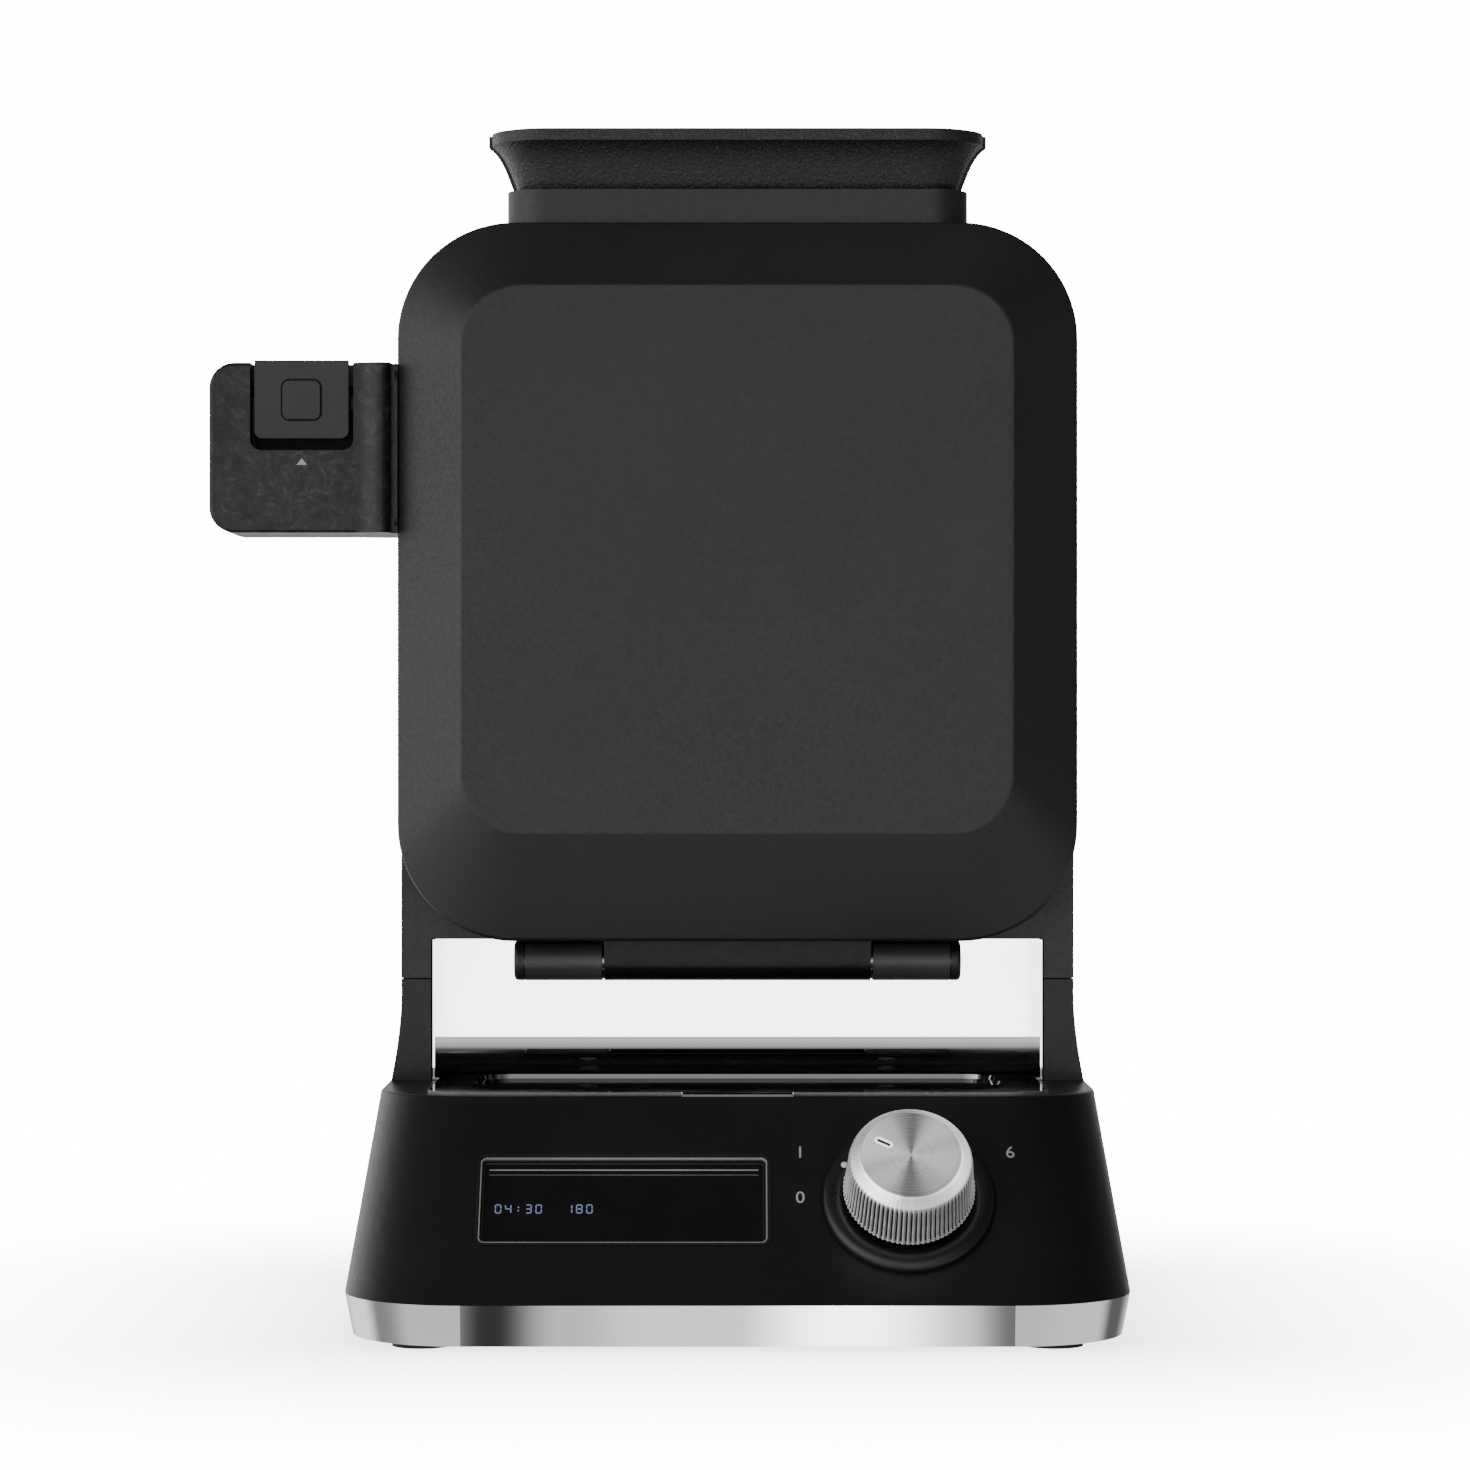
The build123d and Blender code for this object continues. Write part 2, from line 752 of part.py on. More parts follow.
def handle_half(deep, drop):
    """Solid handle on the left of the head, from the parting gap back by deep, with a rounded neck."""
    right = -head_half
    width = handle_length + handle_corner
    shape = upright(width, handle_height, handle_corner, handle_middle, parting_gap, deep,
                    x=handle_left + width / 2)
    shape = shape & block(handle_left, right, 0, deep, handle_bottom, handle_top)
    back = shape.faces().sort_by(Axis.Y)[-1]
    edges = [e for e in back.edges() if e.center().X < right - 1]
    shape = fillet(edges, handle_edge_round)
    floor = deep - drop
    shape -= block(right - handle_neck, right, floor, 2 * deep, handle_bottom, handle_top)
    start = (right - handle_neck, deep)
    crest = (right - handle_bead_from_head, deep + handle_bead)
    end = (right - neck_flange, floor)
    rise = ((start[0] + crest[0]) / 2, deep + handle_bead / 2)
    fall = (crest[0] + (end[0] - crest[0]) * neck_roll_reach, crest[1] - (crest[1] - floor) * neck_roll_fall)
    below = floor - handle_wall / 2
    outline = Line((start[0], below), start)
    outline += Spline(start, rise, crest, fall, end, tangents=((1, 0), (0, -1)))
    outline += Line(end, (end[0], below)) + Line((end[0], below), (start[0], below))
    shape += extrude(Plane(origin=(0, 0, handle_bottom)) * make_face(outline), handle_height)
    lip_height = handle_height - 2 * neck_flange_inset
    lip_depth = deep - drop + neck_flange_lip
    lip = Plane(origin=(right - neck_flange / 2, 0, handle_middle), x_dir=(0, 1, 0), z_dir=(1, 0, 0))
    lip = extrude(lip * rounded(2 * lip_depth, lip_height, neck_flange_corner), neck_flange / 2)
    shape += lip & block(handle_left, right, parting_gap, deep, handle_bottom, handle_top)
    inside = block(handle_left + handle_wall, right - handle_neck, 0, deep - handle_wall,
                   handle_bottom + handle_wall, handle_top - handle_wall)
    inside += block(right - handle_neck - 1, right - handle_wall, 0, deep - drop - handle_wall,
                    handle_bottom + handle_wall, handle_top - handle_wall)
    return shape - inside - handle_bolt_holes()


def handle_bolt_holes():
    """Holes for a handle's bolts, through the head's side wall and into the handle."""
    holes = []
    for z in handle_bolt_levels():
        start = (-head_half + shell_wall, handle_bolt_depth, z)
        holes.append(rod(screw_radius + slide_gap, start, (-1, 0, 0), handle_bolt_length + fit_gap))
    return Part() + holes


def handle_bolt_levels():
    """Levels of the two bolts that hold each handle to the head."""
    return (handle_bottom + handle_bolt_rise, handle_top - handle_bolt_rise)


def handle_bolts():
    """Two bolts from inside the fixed half into its handle."""
    bolts = []
    for z in handle_bolt_levels():
        seat = (-head_half + shell_wall, handle_bolt_depth, z)
        head = rod(screw_head_radius, seat, (1, 0, 0), screw_head_height)
        bolts.append(head + rod(screw_radius, seat, (-1, 0, 0), handle_bolt_length))
    return Compound(children=bolts)


def rear_handle():
    """Rear half of the side handle, which carries the catch."""
    return handle_half(handle_back, rear_neck_drop)


def lid_handle():
    """Front half of the side handle, with the pocket that the latch button lies in."""
    shape = flipped(handle_half(handle_front, handle_neck_drop))
    tall = 2 * pocket_height
    wall_back = pocket_back - pocket_floor
    middle = pocket_bottom + tall / 2
    around = upright(pocket_width + 2 * handle_wall, tall, pocket_corner + handle_wall,
                     middle - handle_wall, -handle_front + 1, -wall_back, x=pocket_middle)
    shape += around & block(handle_left, -head_half, -handle_front + 1, 0, handle_bottom + 1, handle_top - 1)
    shape -= upright(pocket_width, tall, pocket_corner, middle, -handle_front - handle_wall, -pocket_back,
                     x=pocket_middle)
    slot_low = latch_level - hook_height / 2 - hook_tooth_drop - hook_slot_gap
    slot_high = handle_top - handle_wall
    half_slot = hook_width / 2 + hook_slot_gap
    shape -= block(pocket_middle - half_slot, pocket_middle + half_slot, -pocket_back - handle_wall, 0,
                   slot_low, slot_high)
    pin_start = (pocket_left - latch_pin_socket, -latch_pivot_depth, latch_level)
    shape -= rod(latch_pin_radius + slide_gap, pin_start,
                 (1, 0, 0), pocket_width + 2 * latch_pin_socket)
    return shape


def latch_pin():
    """Pin that the latch button rocks on."""
    start = (pocket_left - latch_pin_socket, -latch_pivot_depth, latch_level)
    return rod(latch_pin_radius, start, (1, 0, 0), pocket_width + 2 * latch_pin_socket)


def latch_button():
    """Rocking button plate with its hub, and the hook that reaches the catch."""
    face = handle_front + button_stand
    back = face - button_thickness
    tall = 2 * button_height
    top = handle_top + button_stand
    plate = upright(button_width, tall, button_corner, top - button_height + tall / 2, -face, -back,
                    x=pocket_middle)
    plate = plate & block(handle_left, 0, -face, 0, handle_bottom, top)
    hub = rod(latch_hub_radius, (pocket_middle - button_width / 2 + 1, -latch_pivot_depth, latch_level),
              (1, 0, 0), button_width - 2)
    half = hook_width / 2
    web = block(pocket_middle - button_width / 2 + 1, pocket_middle + button_width / 2 - 1,
                -back - 0.5, -latch_pivot_depth, latch_level - hook_height / 2, latch_level + hook_height / 2)
    arm = block(pocket_middle - half, pocket_middle + half, -latch_pivot_depth, hook_reach,
                latch_level - hook_height / 2, latch_level + hook_height / 2)
    tooth = block(pocket_middle - half, pocket_middle + half, hook_reach - hook_tooth_depth, hook_reach,
                  latch_level - hook_height / 2 - hook_tooth_drop, latch_level)
    lever = plate + hub + web + arm + tooth
    lever -= rod(latch_pin_radius + slide_gap, (pocket_left, -latch_pivot_depth, latch_level), (1, 0, 0),
                 pocket_width)
    spring_room = spring_length / 2 + fit_gap
    for side in (-1, 1):
        x = pocket_middle + side * (hook_width / 2 + spring_length / 2 + 1)
        lever -= block(x - spring_room, x + spring_room, -back, 0, handle_bottom, handle_top + button_stand) \
            & rod(spring_radius + 2 * fit_gap, (x - spring_room, -latch_pivot_depth, latch_level), (1, 0, 0),
                  2 * spring_room)
    return lever - badge_block(badge_gap, badge_stand)


def badge_block(grow, edge):
    """Space of the square pad on the button, larger by grow all round."""
    face = handle_front + button_stand
    middle = handle_top + button_stand - badge_drop - badge_height / 2
    return upright(badge_width + 2 * grow, badge_height + 2 * grow, badge_corner + grow, middle,
                   -face - edge, badge_recess - face, x=pocket_middle)


def latch_springs():
    """Two small torsion coils on the latch pin."""
    coils = []
    for side in (-1, 1):
        x = pocket_middle + side * (hook_width / 2 + spring_length / 2 + 1)
        start = (x - spring_length / 2, -latch_pivot_depth, latch_level)
        coil = rod(spring_radius, start, (1, 0, 0), spring_length)
        coils.append(coil - rod(spring_radius - spring_wall, start, (1, 0, 0), spring_length))
    return Compound(children=coils)


def latch_badge():
    """Raised square pad in the button's recess."""
    pad = badge_block(0, badge_stand)
    front = pad.faces().sort_by(Axis.Y)[0]
    return fillet(front.edges(), badge_edge_round)


def latch_catch():
    """Steel catch inside the rear handle that the hook stands over."""
    half = hook_width / 2
    bar = block(pocket_middle - half - 1, pocket_middle + half + 1, catch_back - catch_depth, catch_back,
                catch_top - catch_height, catch_top)
    stem = block(pocket_middle - half - 1, pocket_middle + half + 1, catch_back - catch_depth, catch_back,
                 handle_bottom + handle_wall, catch_top - catch_height)
    return bar + stem


# Hinge

def hinge_barrel():
    """Lid's centre barrel with the web that joins it to the lid."""
    start = (-barrel_half_width, 0, hinge_level)
    barrel = rod(hinge_radius, start, (1, 0, 0), 2 * barrel_half_width)
    web = block(-barrel_half_width, barrel_half_width, -hinge_radius, -parting_gap, hinge_level, head_bottom)
    return barrel + web - rod(hinge_pin_radius + slide_gap, start, (1, 0, 0), 2 * barrel_half_width)


def hinge_knuckle():
    """Right-hand fixed knuckle, carried by the bracket behind it."""
    start = (knuckle_inner, 0, hinge_level)
    sleeve = rod(hinge_radius, start, (1, 0, 0), knuckle_width)
    back = block(knuckle_inner, knuckle_outer, parting_gap, bracket_depth, hinge_level - hinge_radius,
                 head_bottom - fit_gap)
    return sleeve + back - rod(hinge_pin_radius + slide_gap, start, (1, 0, 0), knuckle_width)


def hinge_bracket():
    """Pressed bracket below the fixed half: back strip, top flange and two ears."""
    low = hinge_level - hinge_radius
    strip = block(-ear_outer, ear_outer, bracket_depth, bracket_depth + bracket_thickness, low, head_bottom)
    flange = block(-ear_outer, ear_outer, bracket_depth, bracket_depth + bracket_flange,
                   head_bottom - bracket_thickness, head_bottom)
    shape = strip + flange
    for side in (-1, 1):
        start = (side * ear_inner, 0, hinge_level)
        ear = rod(hinge_radius, start, (side, 0, 0), ear_thickness)
        outer_end = [e for e in ear.edges() if abs(abs(e.center().X) - ear_outer) < hair]
        ear = fillet(outer_end, ear_edge_round)
        ear += block(side * ear_inner, side * (ear_outer - ear_edge_round), 0, bracket_depth, low,
                     head_bottom - fit_gap)
        shape += ear - rod(hinge_pin_radius + slide_gap, start, (side, 0, 0), ear_thickness - ear_skin)
    return shape - bracket_screw_holes()


def bracket_screw_places():
    """Plan places of the screws through the bracket's flange."""
    for x in (-bracket_screw_spread_x / 2, bracket_screw_spread_x / 2):
        yield x, bracket_depth + (bracket_flange + bracket_thickness) / 2


def bracket_screw_holes():
    """Holes for the bracket's screws, through its flange and the housing's floor."""
    holes = [rod(screw_radius + slide_gap, (x, y, head_bottom - bracket_thickness), (0, 0, 1),
                 bracket_screw_length + fit_gap) for x, y in bracket_screw_places()]
    return Part() + holes


def bracket_screws():
    """Screws that hold the hinge bracket below the fixed half."""
    screws = []
    for x, y in bracket_screw_places():
        seat = (x, y, head_bottom - bracket_thickness)
        head = rod(screw_head_radius, seat, (0, 0, -1), screw_head_height)
        screws.append(head + rod(screw_radius, seat, (0, 0, 1), bracket_screw_length))
    return Compound(children=screws)


def hinge_pin():
    """Plain pin through knuckles and barrel, closed in by the ears."""
    half = ear_outer - ear_skin - fit_gap
    return rod(hinge_pin_radius, (-half, 0, hinge_level), (1, 0, 0), 2 * half)


# Base

def base_shell():
    """Moulded base with its deck, sloped front, side arms and column."""
    outer = ruled(base_section(band_top, 0), base_section(deck_level, 0))
    top_edges = [e for e in outer.edges() if abs(e.center().Z - deck_level) < hair
                 and e.bounding_box().size.Z < hair]
    outer = fillet(top_edges, deck_edge_round)
    outer += ruled(band_section(band_bottom, band_thickness + fit_gap),
                   band_section(band_top, band_thickness + fit_gap))
    hollow = ruled(base_section(band_top, base_wall), base_section(deck_level - deck_thickness, base_wall))
    skirt_inset = band_thickness + fit_gap + base_wall
    hollow += ruled(band_section(band_bottom, skirt_inset), band_section(band_top, skirt_inset))
    column = loft([
        outline_at(deck_level - deck_thickness, deck_half_width, deck_front, deck_back, deck_corner),
        column_section(column_low_rise, column_low_flare, column_low_corner),
        column_section(column_high_rise, column_high_flare, column_high_corner),
        outline_at(leg_bottom - seam_gap, head_half, deck_front, cover_depth, cover_edge)])
    column = column & block(-2 * head_half, 2 * head_half, parting_gap, 2 * cover_depth,
                            deck_level - deck_thickness, leg_bottom)
    bay = block(-bay_half, bay_half, -deck_front, bay_back, deck_level, leg_bottom)
    inner_back = cover_depth - shell_wall
    column_room = block(-head_half + shell_wall, head_half - shell_wall, bay_back + shell_wall, inner_back,
                        deck_level - 2 * deck_thickness, leg_bottom)
    corners = [e for e in column_room.edges().filter_by(Axis.Z) if e.center().Y > inner_back - 1]
    column_room = fillet(corners, cover_edge_inside)
    shell = outer + (column - bay) - hollow - column_room
    for side in (-1, 1):
        arm = block(side * (bay_half + shell_wall), side * (head_half - shell_wall), parting_gap + shell_wall,
                    bay_back + shell_wall, deck_level - 2 * deck_thickness, leg_bottom)
        shell -= arm
    opening = Pos(0, (tray_back - tray_front) / 2, 0) * rounded(
        2 * (tray_half_width + fit_gap), tray_front + tray_back + 2 * fit_gap, tray_corner + fit_gap)
    shell -= extrude(Pos(0, 0, deck_level - 2 * deck_thickness) * opening, 2 * deck_thickness)
    for post in board_posts():
        shell += post
    shell += gland_boss()
    return shell - slope_cuts() - gland_hole()


def column_section(rise, flare, corner_share):
    """Plan of the column at a rise above the deck, still flared by a share of the deck's overhang."""
    half = head_half + (deck_half_width - head_half) * flare
    back = cover_depth + (deck_back - cover_depth) * flare
    corner = cover_edge + (deck_corner - cover_edge) * corner_share
    return outline_at(deck_level + rise, half, deck_front, back, corner)


def board_posts():
    """Posts behind the slope that carry the control board."""
    posts = []
    left, right, high, low = board_edges()
    for x in (left + board_post_inset, right - board_post_inset):
        for drop in (high + board_post_inset, low - board_post_inset):
            plane = on_slope(x, drop, -board_depth)
            posts.append(extrude(plane * Circle(board_post_radius), board_depth - slope_wall + face_inset))
    return posts


def board_edges():
    """Left, right, upper and lower edges of the control board on the slope."""
    left = window_left - board_margin
    right = knob_centre + dial_radius
    high = window_drop - board_margin / 2
    low = window_drop + window_height + board_margin / 2
    return left, right, high, low


def window_plane(lift):
    """Plane at the middle of the display window."""
    return on_slope((window_left + window_right) / 2, window_drop + window_height / 2, lift)


def slope_cuts():
    """Display recess, its opening, and the shaft hole below the dial."""
    width = window_right - window_left
    margin = bezel_width + fit_gap
    full = rounded(width + 2 * margin, window_height + 2 * margin, window_corner + margin)
    through = 2 * base_wall
    cut = extrude(window_plane(-through) * full, 2 * through)
    return cut + extrude(on_slope(knob_centre, knob_drop, -through) * Circle(dial_bore), 2 * through)


def display_window():
    """Gloss black pane that covers the display."""
    width = window_right - window_left
    pane = rounded(width, window_height, window_corner)
    return extrude(window_plane(-window_recess - window_thickness) * pane, window_thickness)


def display_bezel():
    """Frame round the sunk display pane, with a ledge that the pane lies on."""
    width = window_right - window_left
    seat = -window_recess - window_thickness
    bottom = seat - bezel_ledge
    outer = rounded(width + 2 * bezel_width, window_height + 2 * bezel_width, window_corner + bezel_width)
    inner = rounded(width + fit_gap / 2, window_height + fit_gap / 2, window_corner)
    sight = rounded(width - 2 * module_margin, window_height - 2 * module_margin, window_corner)
    frame = extrude(window_plane(bottom) * outer, bezel_stand - bottom)
    frame -= extrude(window_plane(seat) * inner, 2 * bezel_stand - seat)
    return frame - extrude(window_plane(bottom) * sight, bezel_ledge)


def display_module():
    """Numeral display that stands on the control board below the pane."""
    width = window_right - window_left - 2 * module_margin - 2 * fit_gap
    tall = window_height - 2 * module_margin - 2 * fit_gap
    height = board_depth - window_recess - window_thickness - fit_gap
    return extrude(window_plane(-board_depth) * rounded(width, tall, window_corner), height)


def control_board():
    """Circuit board behind the slope."""
    left, right, high, low = board_edges()
    plane = on_slope((left + right) / 2, (high + low) / 2, -board_depth - board_thickness)
    return extrude(plane * Rectangle(right - left, low - high), board_thickness)


def encoder():
    """Rotary switch on the control board, with its threaded bush."""
    body = extrude(on_slope(knob_centre, knob_drop, -board_depth) * Rectangle(encoder_width, encoder_width),
                   encoder_height)
    bush_length = board_depth - encoder_height - slope_wall - fit_gap
    bush_start = on_slope(knob_centre, knob_drop, encoder_height - board_depth)
    bush = extrude(bush_start * Circle(encoder_bush_radius), bush_length)
    bore_start = on_slope(knob_centre, knob_drop, shaft_seat - board_depth)
    bore = extrude(bore_start * Circle(shaft_radius + slide_gap), board_depth)
    return body + bush - bore


def knob_shaft():
    """Shaft from the rotary switch up into the knob's hub."""
    length = board_depth - shaft_seat - fit_gap + knob_bottom + shaft_socket
    shaft_start = on_slope(knob_centre, knob_drop, shaft_seat + fit_gap - board_depth)
    shaft = extrude(shaft_start * Circle(shaft_radius), length)
    flat = on_slope(knob_centre + 2 * shaft_radius - shaft_flat, knob_drop, knob_bottom)
    return shaft - extrude(flat * Rectangle(2 * shaft_radius, 2 * shaft_radius), shaft_socket + fit_gap)


def dial_ring():
    """Raised dished ring round the knob, which carries the scale."""
    bulge = cos(radians(45))
    crown = (dial_radius - dial_flank, dial_height)
    flank = (dial_radius - dial_flank * (1 - bulge), dial_edge + (dial_height - dial_edge) * bulge)
    floor = dial_height - dial_dish
    outline = Line((dial_bore, 0), (dial_radius, 0)) + Line((dial_radius, 0), (dial_radius, dial_edge))
    outline += ThreePointArc((dial_radius, dial_edge), flank, crown) + Line(crown, (knob_radius, floor))
    outline += Line((knob_radius, floor), (dial_bore, floor)) + Line((dial_bore, floor), (dial_bore, 0))
    profile = make_face(outline)
    ring = revolve(Plane.XZ * profile, Axis.Z)
    return on_slope(knob_centre, knob_drop) * ring


def knob_cap():
    """Turned aluminium cap with a grooved skirt."""
    inner = knob_shoulder_radius - knob_wall
    profile = make_face(Polyline(
        (0, knob_top), (knob_face_radius, knob_top), (knob_bevel_radius, knob_bevel_level + knob_bevel_lift),
        (knob_shoulder_radius, knob_bevel_level), (knob_radius, knob_bottom), (inner, knob_bottom),
        (inner, knob_bevel_level - knob_bevel_lift),
        (knob_bevel_radius - knob_wall, knob_top - 2 * knob_wall),
        (0, knob_top - 2 * knob_wall), close=True))
    cap = revolve(Plane.XZ * profile, Axis.Z)
    lean = degrees(atan2(knob_radius - knob_shoulder_radius, knob_bevel_level - knob_bottom))
    tall = knob_bevel_level - knob_bottom - 2 * knob_groove_margin
    middle = (knob_bevel_level + knob_bottom) / 2
    across = (knob_radius + knob_shoulder_radius) / 2 + knob_groove_radius / 2
    for groove in range(knob_groove_count):
        turn = Rot(0, 0, groove * 360 / knob_groove_count)
        cap -= turn * Pos(across, 0, middle) * Rot(0, -lean, 0) * Cylinder(knob_groove_radius, tall)
    cap -= extrude(Pos(0, 0, knob_top - pointer_depth) * pointer_shape(slide_gap), 2 * pointer_depth)
    return on_slope(knob_centre, knob_drop) * cap


def pointer_shape(grow):
    """Outline of the knob's mark on its face."""
    mark = SlotOverall(pointer_length + 2 * grow, pointer_width + 2 * grow)
    return Rot(0, 0, 90 + knob_pointer_angle) * Pos(pointer_from_centre, 0) * mark


def knob_pointer():
    """Inlaid mark on the knob's face."""
    mark = extrude(Pos(0, 0, knob_top - pointer_depth) * pointer_shape(0), pointer_depth - pointer_sink)
    return on_slope(knob_centre, knob_drop) * mark


def knob_hub():
    """Moulded core inside the cap that grips the shaft."""
    tall = knob_bevel_level - knob_bevel_lift - knob_bottom - fit_gap
    core = Circle(knob_shoulder_radius - knob_wall - slide_gap)
    hub = extrude(on_slope(knob_centre, knob_drop, knob_bottom) * core, tall)
    stub = on_slope(knob_centre, knob_drop, knob_bottom + tall)
    hub += extrude(stub * Circle(knob_face_radius - knob_wall), knob_top - 2 * knob_wall - knob_bottom - tall)
    flat = extrude(on_slope(knob_centre + 2 * shaft_radius - shaft_flat + slide_gap, knob_drop, knob_bottom)
                   * Rectangle(2 * shaft_radius, 3 * shaft_radius), shaft_socket + fit_gap)
    bore = extrude(on_slope(knob_centre, knob_drop, knob_bottom) * Circle(shaft_radius + slide_gap),
                   shaft_socket + fit_gap)
    return hub - (bore - flat)


def base_band():
    """Steel band round the foot of the base."""
    outer = ruled(band_section(band_bottom, 0), band_section(band_top, 0))
    return outer - ruled(band_section(band_bottom, band_thickness), band_section(band_top, band_thickness))


def bottom_cover():
    """Plate that closes the base from below, with sockets for the feet and posts for the board."""
    inset = band_thickness + fit_gap + base_wall + fit_gap
    plate = ruled(band_section(band_bottom, inset), band_section(band_bottom + cover_plate, inset))
    for x, y in foot_places():
        plate -= rod(foot_plug_radius + slide_gap, (x, y, 0), (0, 0, 1), band_bottom + foot_plug_height)
    across = power_board_width / 2 - power_post_inset
    back = power_board_front + power_board_depth
    for x in (-across, across):
        for y in (power_board_front + power_post_inset, back - power_post_inset):
            plate += rod(board_post_radius, (x, y, band_bottom + cover_plate), (0, 0, 1),
                         power_board_level - band_bottom - cover_plate)
    return plate


def foot_places():
    """Plan places of the four feet."""
    for x in (-foot_spread_x / 2, foot_spread_x / 2):
        for y in (foot_front_y, foot_back_y):
            yield x, y


def feet():
    """Four rubber feet with plugs in the bottom cover."""
    pads = []
    for x, y in foot_places():
        pad = rod(foot_radius, (x, y, 0), (0, 0, 1), band_bottom)
        pads.append(pad + rod(foot_plug_radius, (x, y, band_bottom), (0, 0, 1), foot_plug_height))
    return Compound(children=pads)


def power_board():
    """Circuit board that feeds the elements."""
    return block(-power_board_width / 2, power_board_width / 2, power_board_front,
                 power_board_front + power_board_depth, power_board_level,
                 power_board_level + board_thickness)


def on_power_board(x, y, width, deep, tall):
    """Block component standing on the power board."""
    low = power_board_level + board_thickness
    return block(x - width / 2, x + width / 2, y - deep / 2, y + deep / 2, low, low + tall)


def cord_gland():
    """Cord entry in the back of the base."""
    face = gland_face()
    tube = rod(gland_radius, (gland_x, face, gland_level), (0, -1, 0), gland_length)
    flange = rod(gland_flange_radius, (gland_x, face, gland_level), (0, 1, 0), gland_flange)
    bore_start = (gland_x, face + gland_flange, gland_level)
    bore = rod(gland_bore, bore_start, (0, -1, 0), gland_length + gland_flange)
    return tube + flange - bore


def gland_face():
    """Depth of the flat that the gland's flange seats on."""
    share = (gland_level - gland_flange_radius - band_top) / (deck_level - band_top)
    return band_back + share * (deck_back - band_back)


def gland_boss():
    """Flat boss on the base's sloping back that the gland seats on."""
    return rod(gland_flange_radius + gland_boss_margin, (gland_x, gland_face(), gland_level), (0, -1, 0),
               gland_length - gland_boss_margin)


def gland_hole():
    """Hole in the base's back wall for the gland."""
    return rod(gland_radius + slide_gap, (gland_x, gland_face(), gland_level), (0, -1, 0), gland_length)


def stand_harness():
    """Lead from the terminal block up the column to the fixed half's element."""
    x = terminal_x
    y = bay_back + shell_wall + harness_radius + harness_gap
    low = power_board_level + board_thickness + terminal_height
    bend = low + 2 * harness_bend
    high = pan_level - element_height / 2
    end = pan_back + fit_gap + element_radius + pin_length + fit_gap
    points = [(x, terminal_y, low), (x, terminal_y, bend), (x, y, bend), (x, y, high),
              (pin_gap / 2, y, high), (pin_gap / 2, end, high)]
    return tube_along(capsule_path(points, harness_bend), harness_radius)


def lid_harness():
    """Lead inside the lid, from its hinge end up to its element."""
    near = rim_depth - shell_wall
    low = head_bottom + shell_wall + fit_gap
    high = pan_level - element_height / 2 - pin_radius - lid_lead_radius
    far = pan_back + fit_gap + element_radius + lid_lead_radius
    middle = low + lid_lead_step
    points = [(0, near, low), (0, near, middle), (0, far, middle + far - near), (0, far, high)]
    return flipped(tube_along(capsule_path(points, lid_lead_radius * 2), lid_lead_radius))


# Splash liner

def splash_liner():
    """Bright sheet: lifted tray with a sunk middle, cove and back panel."""
    low = deck_level + liner_lift
    high = low + liner_thickness
    inner = bay_half - liner_side_gap
    front = Pos(0, (parting_gap - liner_front) / 2, low) * rounded(
        2 * liner_front_half_width, liner_front + parting_gap, liner_front_corner)
    sheet = extrude(front, liner_thickness)
    sheet += block(-liner_front_half_width, liner_front_half_width, -liner_front_corner * 2, 0, low, high)
    sheet += block(-inner, inner, parting_gap, liner_back - cove_radius, low, high)
    sheet += block(-liner_front_half_width, liner_front_half_width, -1, parting_gap + 1, low, high)
    inside = cove_radius
    outside = cove_radius + liner_thickness
    corner = (liner_back - inside, high + inside)
    cove = Plane.YZ.offset(-inner) * Pos(*corner) * (Circle(outside) - Circle(inside))
    cove = extrude(cove, 2 * inner)
    sheet += cove & block(-inner, inner, corner[0], bay_back, low, corner[1])
    sheet += block(-inner, inner, liner_back, bay_back, corner[1], head_bottom - fit_gap)
    for side in (-1, 1):
        sheet += block(side * (inner - liner_thickness), side * inner, wing_front, bay_back, low,
                       head_bottom - fit_gap)
    sheet = sheet - tray_form(0, high) + (tray_form(liner_thickness, high) - tray_form(0, high))
    tab = Polyline((-tab_bend, low), (-liner_front + edge_margin, low), (-liner_front + edge_margin, high),
                   (-tab_bend, high), (-tab_front, deck_level + liner_thickness), (-tab_front, deck_level),
                   close=True)
    tab = Plane.YZ.offset(-tab_half_width) * make_face(tab)
    sheet += extrude(tab, 2 * tab_half_width)
    return sheet


def tray_form(grow, high):
    """Sunk middle of the tray, larger by the sheet's thickness for its outside."""
    middle = (tray_back - tray_front) / 2
    width = 2 * (tray_half_width - edge_margin + grow)
    deep = tray_front + tray_back - 2 * edge_margin + 2 * grow
    top = Pos(0, middle, high) * rounded(width, deep, tray_corner)
    floor = Pos(0, middle, high - tray_drop - grow) * rounded(
        width - 2 * tray_side_slope, deep - 2 * tray_side_slope, tray_corner - tray_side_slope)
    return ruled(floor, top)


